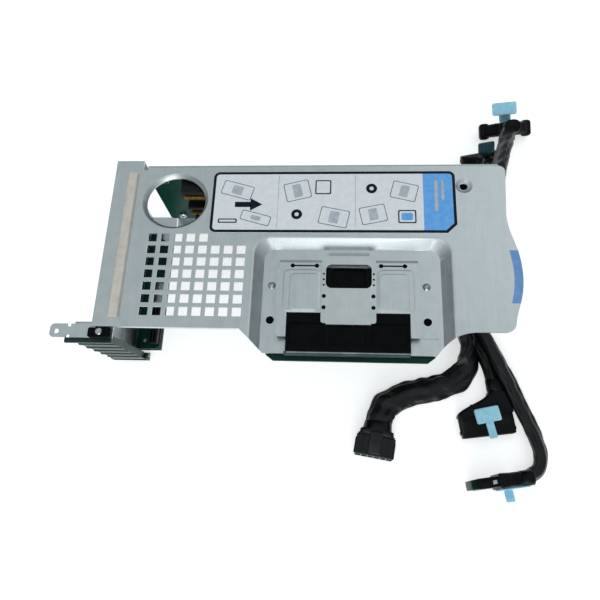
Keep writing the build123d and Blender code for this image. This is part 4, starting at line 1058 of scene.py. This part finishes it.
class RISER_OT_leads(bpy.types.Operator):
    """Make the sleeved leads"""
    bl_idname = "riser.leads"
    bl_label = "Leads"

    def lead(self, name, points, wide, thick, tilt, fold, seed, pieces):
        form, line, length = sleeve(name, points, wide, thick, tilt, fold, seed)
        piece = finish_mesh(form, name + "_sleeve", finishes["braided_sleeve"], "riser",
                            replaced=(name,))

    def execute(self, context):
        sizes = context.scene.riser_sizes
        power, signal = sizes.power_width, sizes.signal_width
        self.lead("power_lead", POWER_ROUTE,
                  wide=[(0, 10), (0.45, 12.5), (0.6, power), (0.94, power + 0.5), (1, 15.5)],
                  thick=[(0, 10), (0.5, 9.4), (1, 9.4)], tilt=[(0, 90), (0.52, 80), (0.66, 8), (1, 0)],
                  fold=0.6, seed=1.0,
                  pieces=[f"power_plug_{part}" for part in ("body", "cuff", "ribs", "lever", "hinge")])
        flat = [(0, 8.2), (1, 8.2)]
        broad = [(0, signal), (1, signal)]
        turns = {"a": [(0, 0), (0.5, 40), (0.8, 20), (1, 0)], "b": [(0, 0), (0.4, 60), (0.7, 30), (1, 80)],
                 "c": [(0, 90), (1, 0)], "d": [(0, 90), (0.6, 40), (1, 0)]}
        routes = {"a": ROUTE_A, "b": ROUTE_B, "c": ROUTE_C, "d": ROUTE_D}
        for seed, letter in enumerate("abcd", start=2):
            parts = ["body", "trim", "board", "contacts", "tab"]
            if letter == "b":
                parts += ["band", "insert", "claw"]
            self.lead(f"signal_lead_{letter}", routes[letter], wide=broad, thick=flat, tilt=turns[letter],
                      fold=0.38, seed=float(seed), pieces=[f"plug_{letter}_{part}" for part in parts])
        return {"FINISHED"}


class RISER_OT_stage(bpy.types.Operator):
    """Set the pale floor, the soft light and the camera"""
    bl_idname = "riser.stage"
    bl_label = "Stage"

    camera_place = (150.737, -100.505, 329.401)
    camera_right = (0.99684666, 0.03810031, -0.06960682)
    camera_down = (0.01227078, -0.9406527, -0.33914883)
    camera_ahead = (-0.07839752, 0.33722525, -0.93815402)

    def execute(self, context):
        scene = context.scene
        form = bmesh.new()
        half_side, below = 3, 0.0001
        bmesh.ops.create_grid(form, x_segments=1, y_segments=1, size=half_side)
        mesh = bpy.data.meshes.new("floor")
        in_order(form)
        form.to_mesh(mesh)
        form.free()
        floor = bpy.data.objects.new("floor", mesh)
        floor.location = (0, 0, -below)
        scene.collection.objects.link(floor)
        material, shader, _ = new_material("white_table")
        shader.inputs["Base Color"].default_value = linear("#F7F8F8")
        surface(shader, Roughness=0.9)
        shader.inputs["Emission Color"].default_value = (1, 1, 1, 1)
        surface(shader, Emission_Strength=0.55)
        mesh.materials.append(material)

        world = bpy.data.worlds.new("studio")
        scene.world = world
        world.use_nodes = True
        sky = world.node_tree.nodes["Background"]
        toward = add_node(world, "ShaderNodeTexCoord")
        height = add_node(world, "ShaderNodeSeparateXYZ", {"Vector": toward.outputs["Generated"]})
        tones = two_tones(world, height.outputs["Z"], "#3F4446", "#D3D9DB", 0.1, 0.72)
        link(world, tones, sky.inputs["Color"])
        sky.inputs["Strength"].default_value = 0.9

        sun = scene.riser_sizes.sun
        self.light(scene, "key", (-0.3, -0.6, 1.1), 0.8, sun * 0.2)
        self.light(scene, "right_softbox", (0.5, 0.5, 0.9), 0.7, sun * 0.1)
        self.light(scene, "front_softbox", (0.1, -1.0, 0.28), 0.7, sun)

        camera = bpy.data.objects.new("camera", bpy.data.cameras.new("camera"))
        camera.data.lens = 36
        camera.data.sensor_width = 36
        camera.data.clip_start = 0.01
        scene.collection.objects.link(camera)
        right, down, ahead = (Vector(v) for v in (self.camera_right, self.camera_down, self.camera_ahead))
        turned = Matrix((right, -down, -ahead)).transposed().to_4x4()
        camera.matrix_world = Matrix.Translation(at(*self.camera_place)) @ turned
        scene.camera = camera
        scene.view_settings.view_transform = "Standard"
        return {"FINISHED"}

    def light(self, scene, name, place, size, watts):
        lamp = bpy.data.lights.new(name, "AREA")
        lamp.shape = "DISK"
        lamp.size = size
        lamp.energy = watts
        holder = bpy.data.objects.new(name, lamp)
        holder.location = place
        holder.rotation_euler = (Vector((0, 0, 0.03)) - Vector(place)).to_track_quat("-Z", "Y").to_euler()
        scene.collection.objects.link(holder)


STEPS = (RISER_OT_sheet_metal, RISER_OT_gasket, RISER_OT_label, RISER_OT_latch, RISER_OT_pocket,
         RISER_OT_boards, RISER_OT_plugs, RISER_OT_leads, RISER_OT_stage)


class RISER_PT_panel(bpy.types.Panel):
    """Buttons for each part of the riser"""
    bl_idname = "RISER_PT_panel"
    bl_label = "Server riser"
    bl_space_type = "VIEW_3D"
    bl_region_type = "UI"
    bl_category = "Riser"

    def draw(self, context):
        for step in STEPS:
            self.layout.operator(step.bl_idname)
        for group in (context.scene.riser_sizes, context.scene.riser_colours):
            for name in group.bl_rna.properties.keys():
                if name not in ("rna_type", "name"):
                    self.layout.prop(group, name)


CLASSES = (RiserColours, RiserSizes, *STEPS, RISER_PT_panel)


def register():
    for item in CLASSES:
        bpy.utils.register_class(item)
    bpy.types.Scene.riser_colours = bpy.props.PointerProperty(type=RiserColours)
    bpy.types.Scene.riser_sizes = bpy.props.PointerProperty(type=RiserSizes)


def unregister():
    del bpy.types.Scene.riser_sizes
    del bpy.types.Scene.riser_colours
    for item in reversed(CLASSES):
        bpy.utils.unregister_class(item)


def main():
    register()
    finishes.update(make_materials())
    for step in STEPS:
        group, name = step.bl_idname.split(".")
        getattr(getattr(bpy.ops, group), name)()


if __name__ == "__main__":
    main()
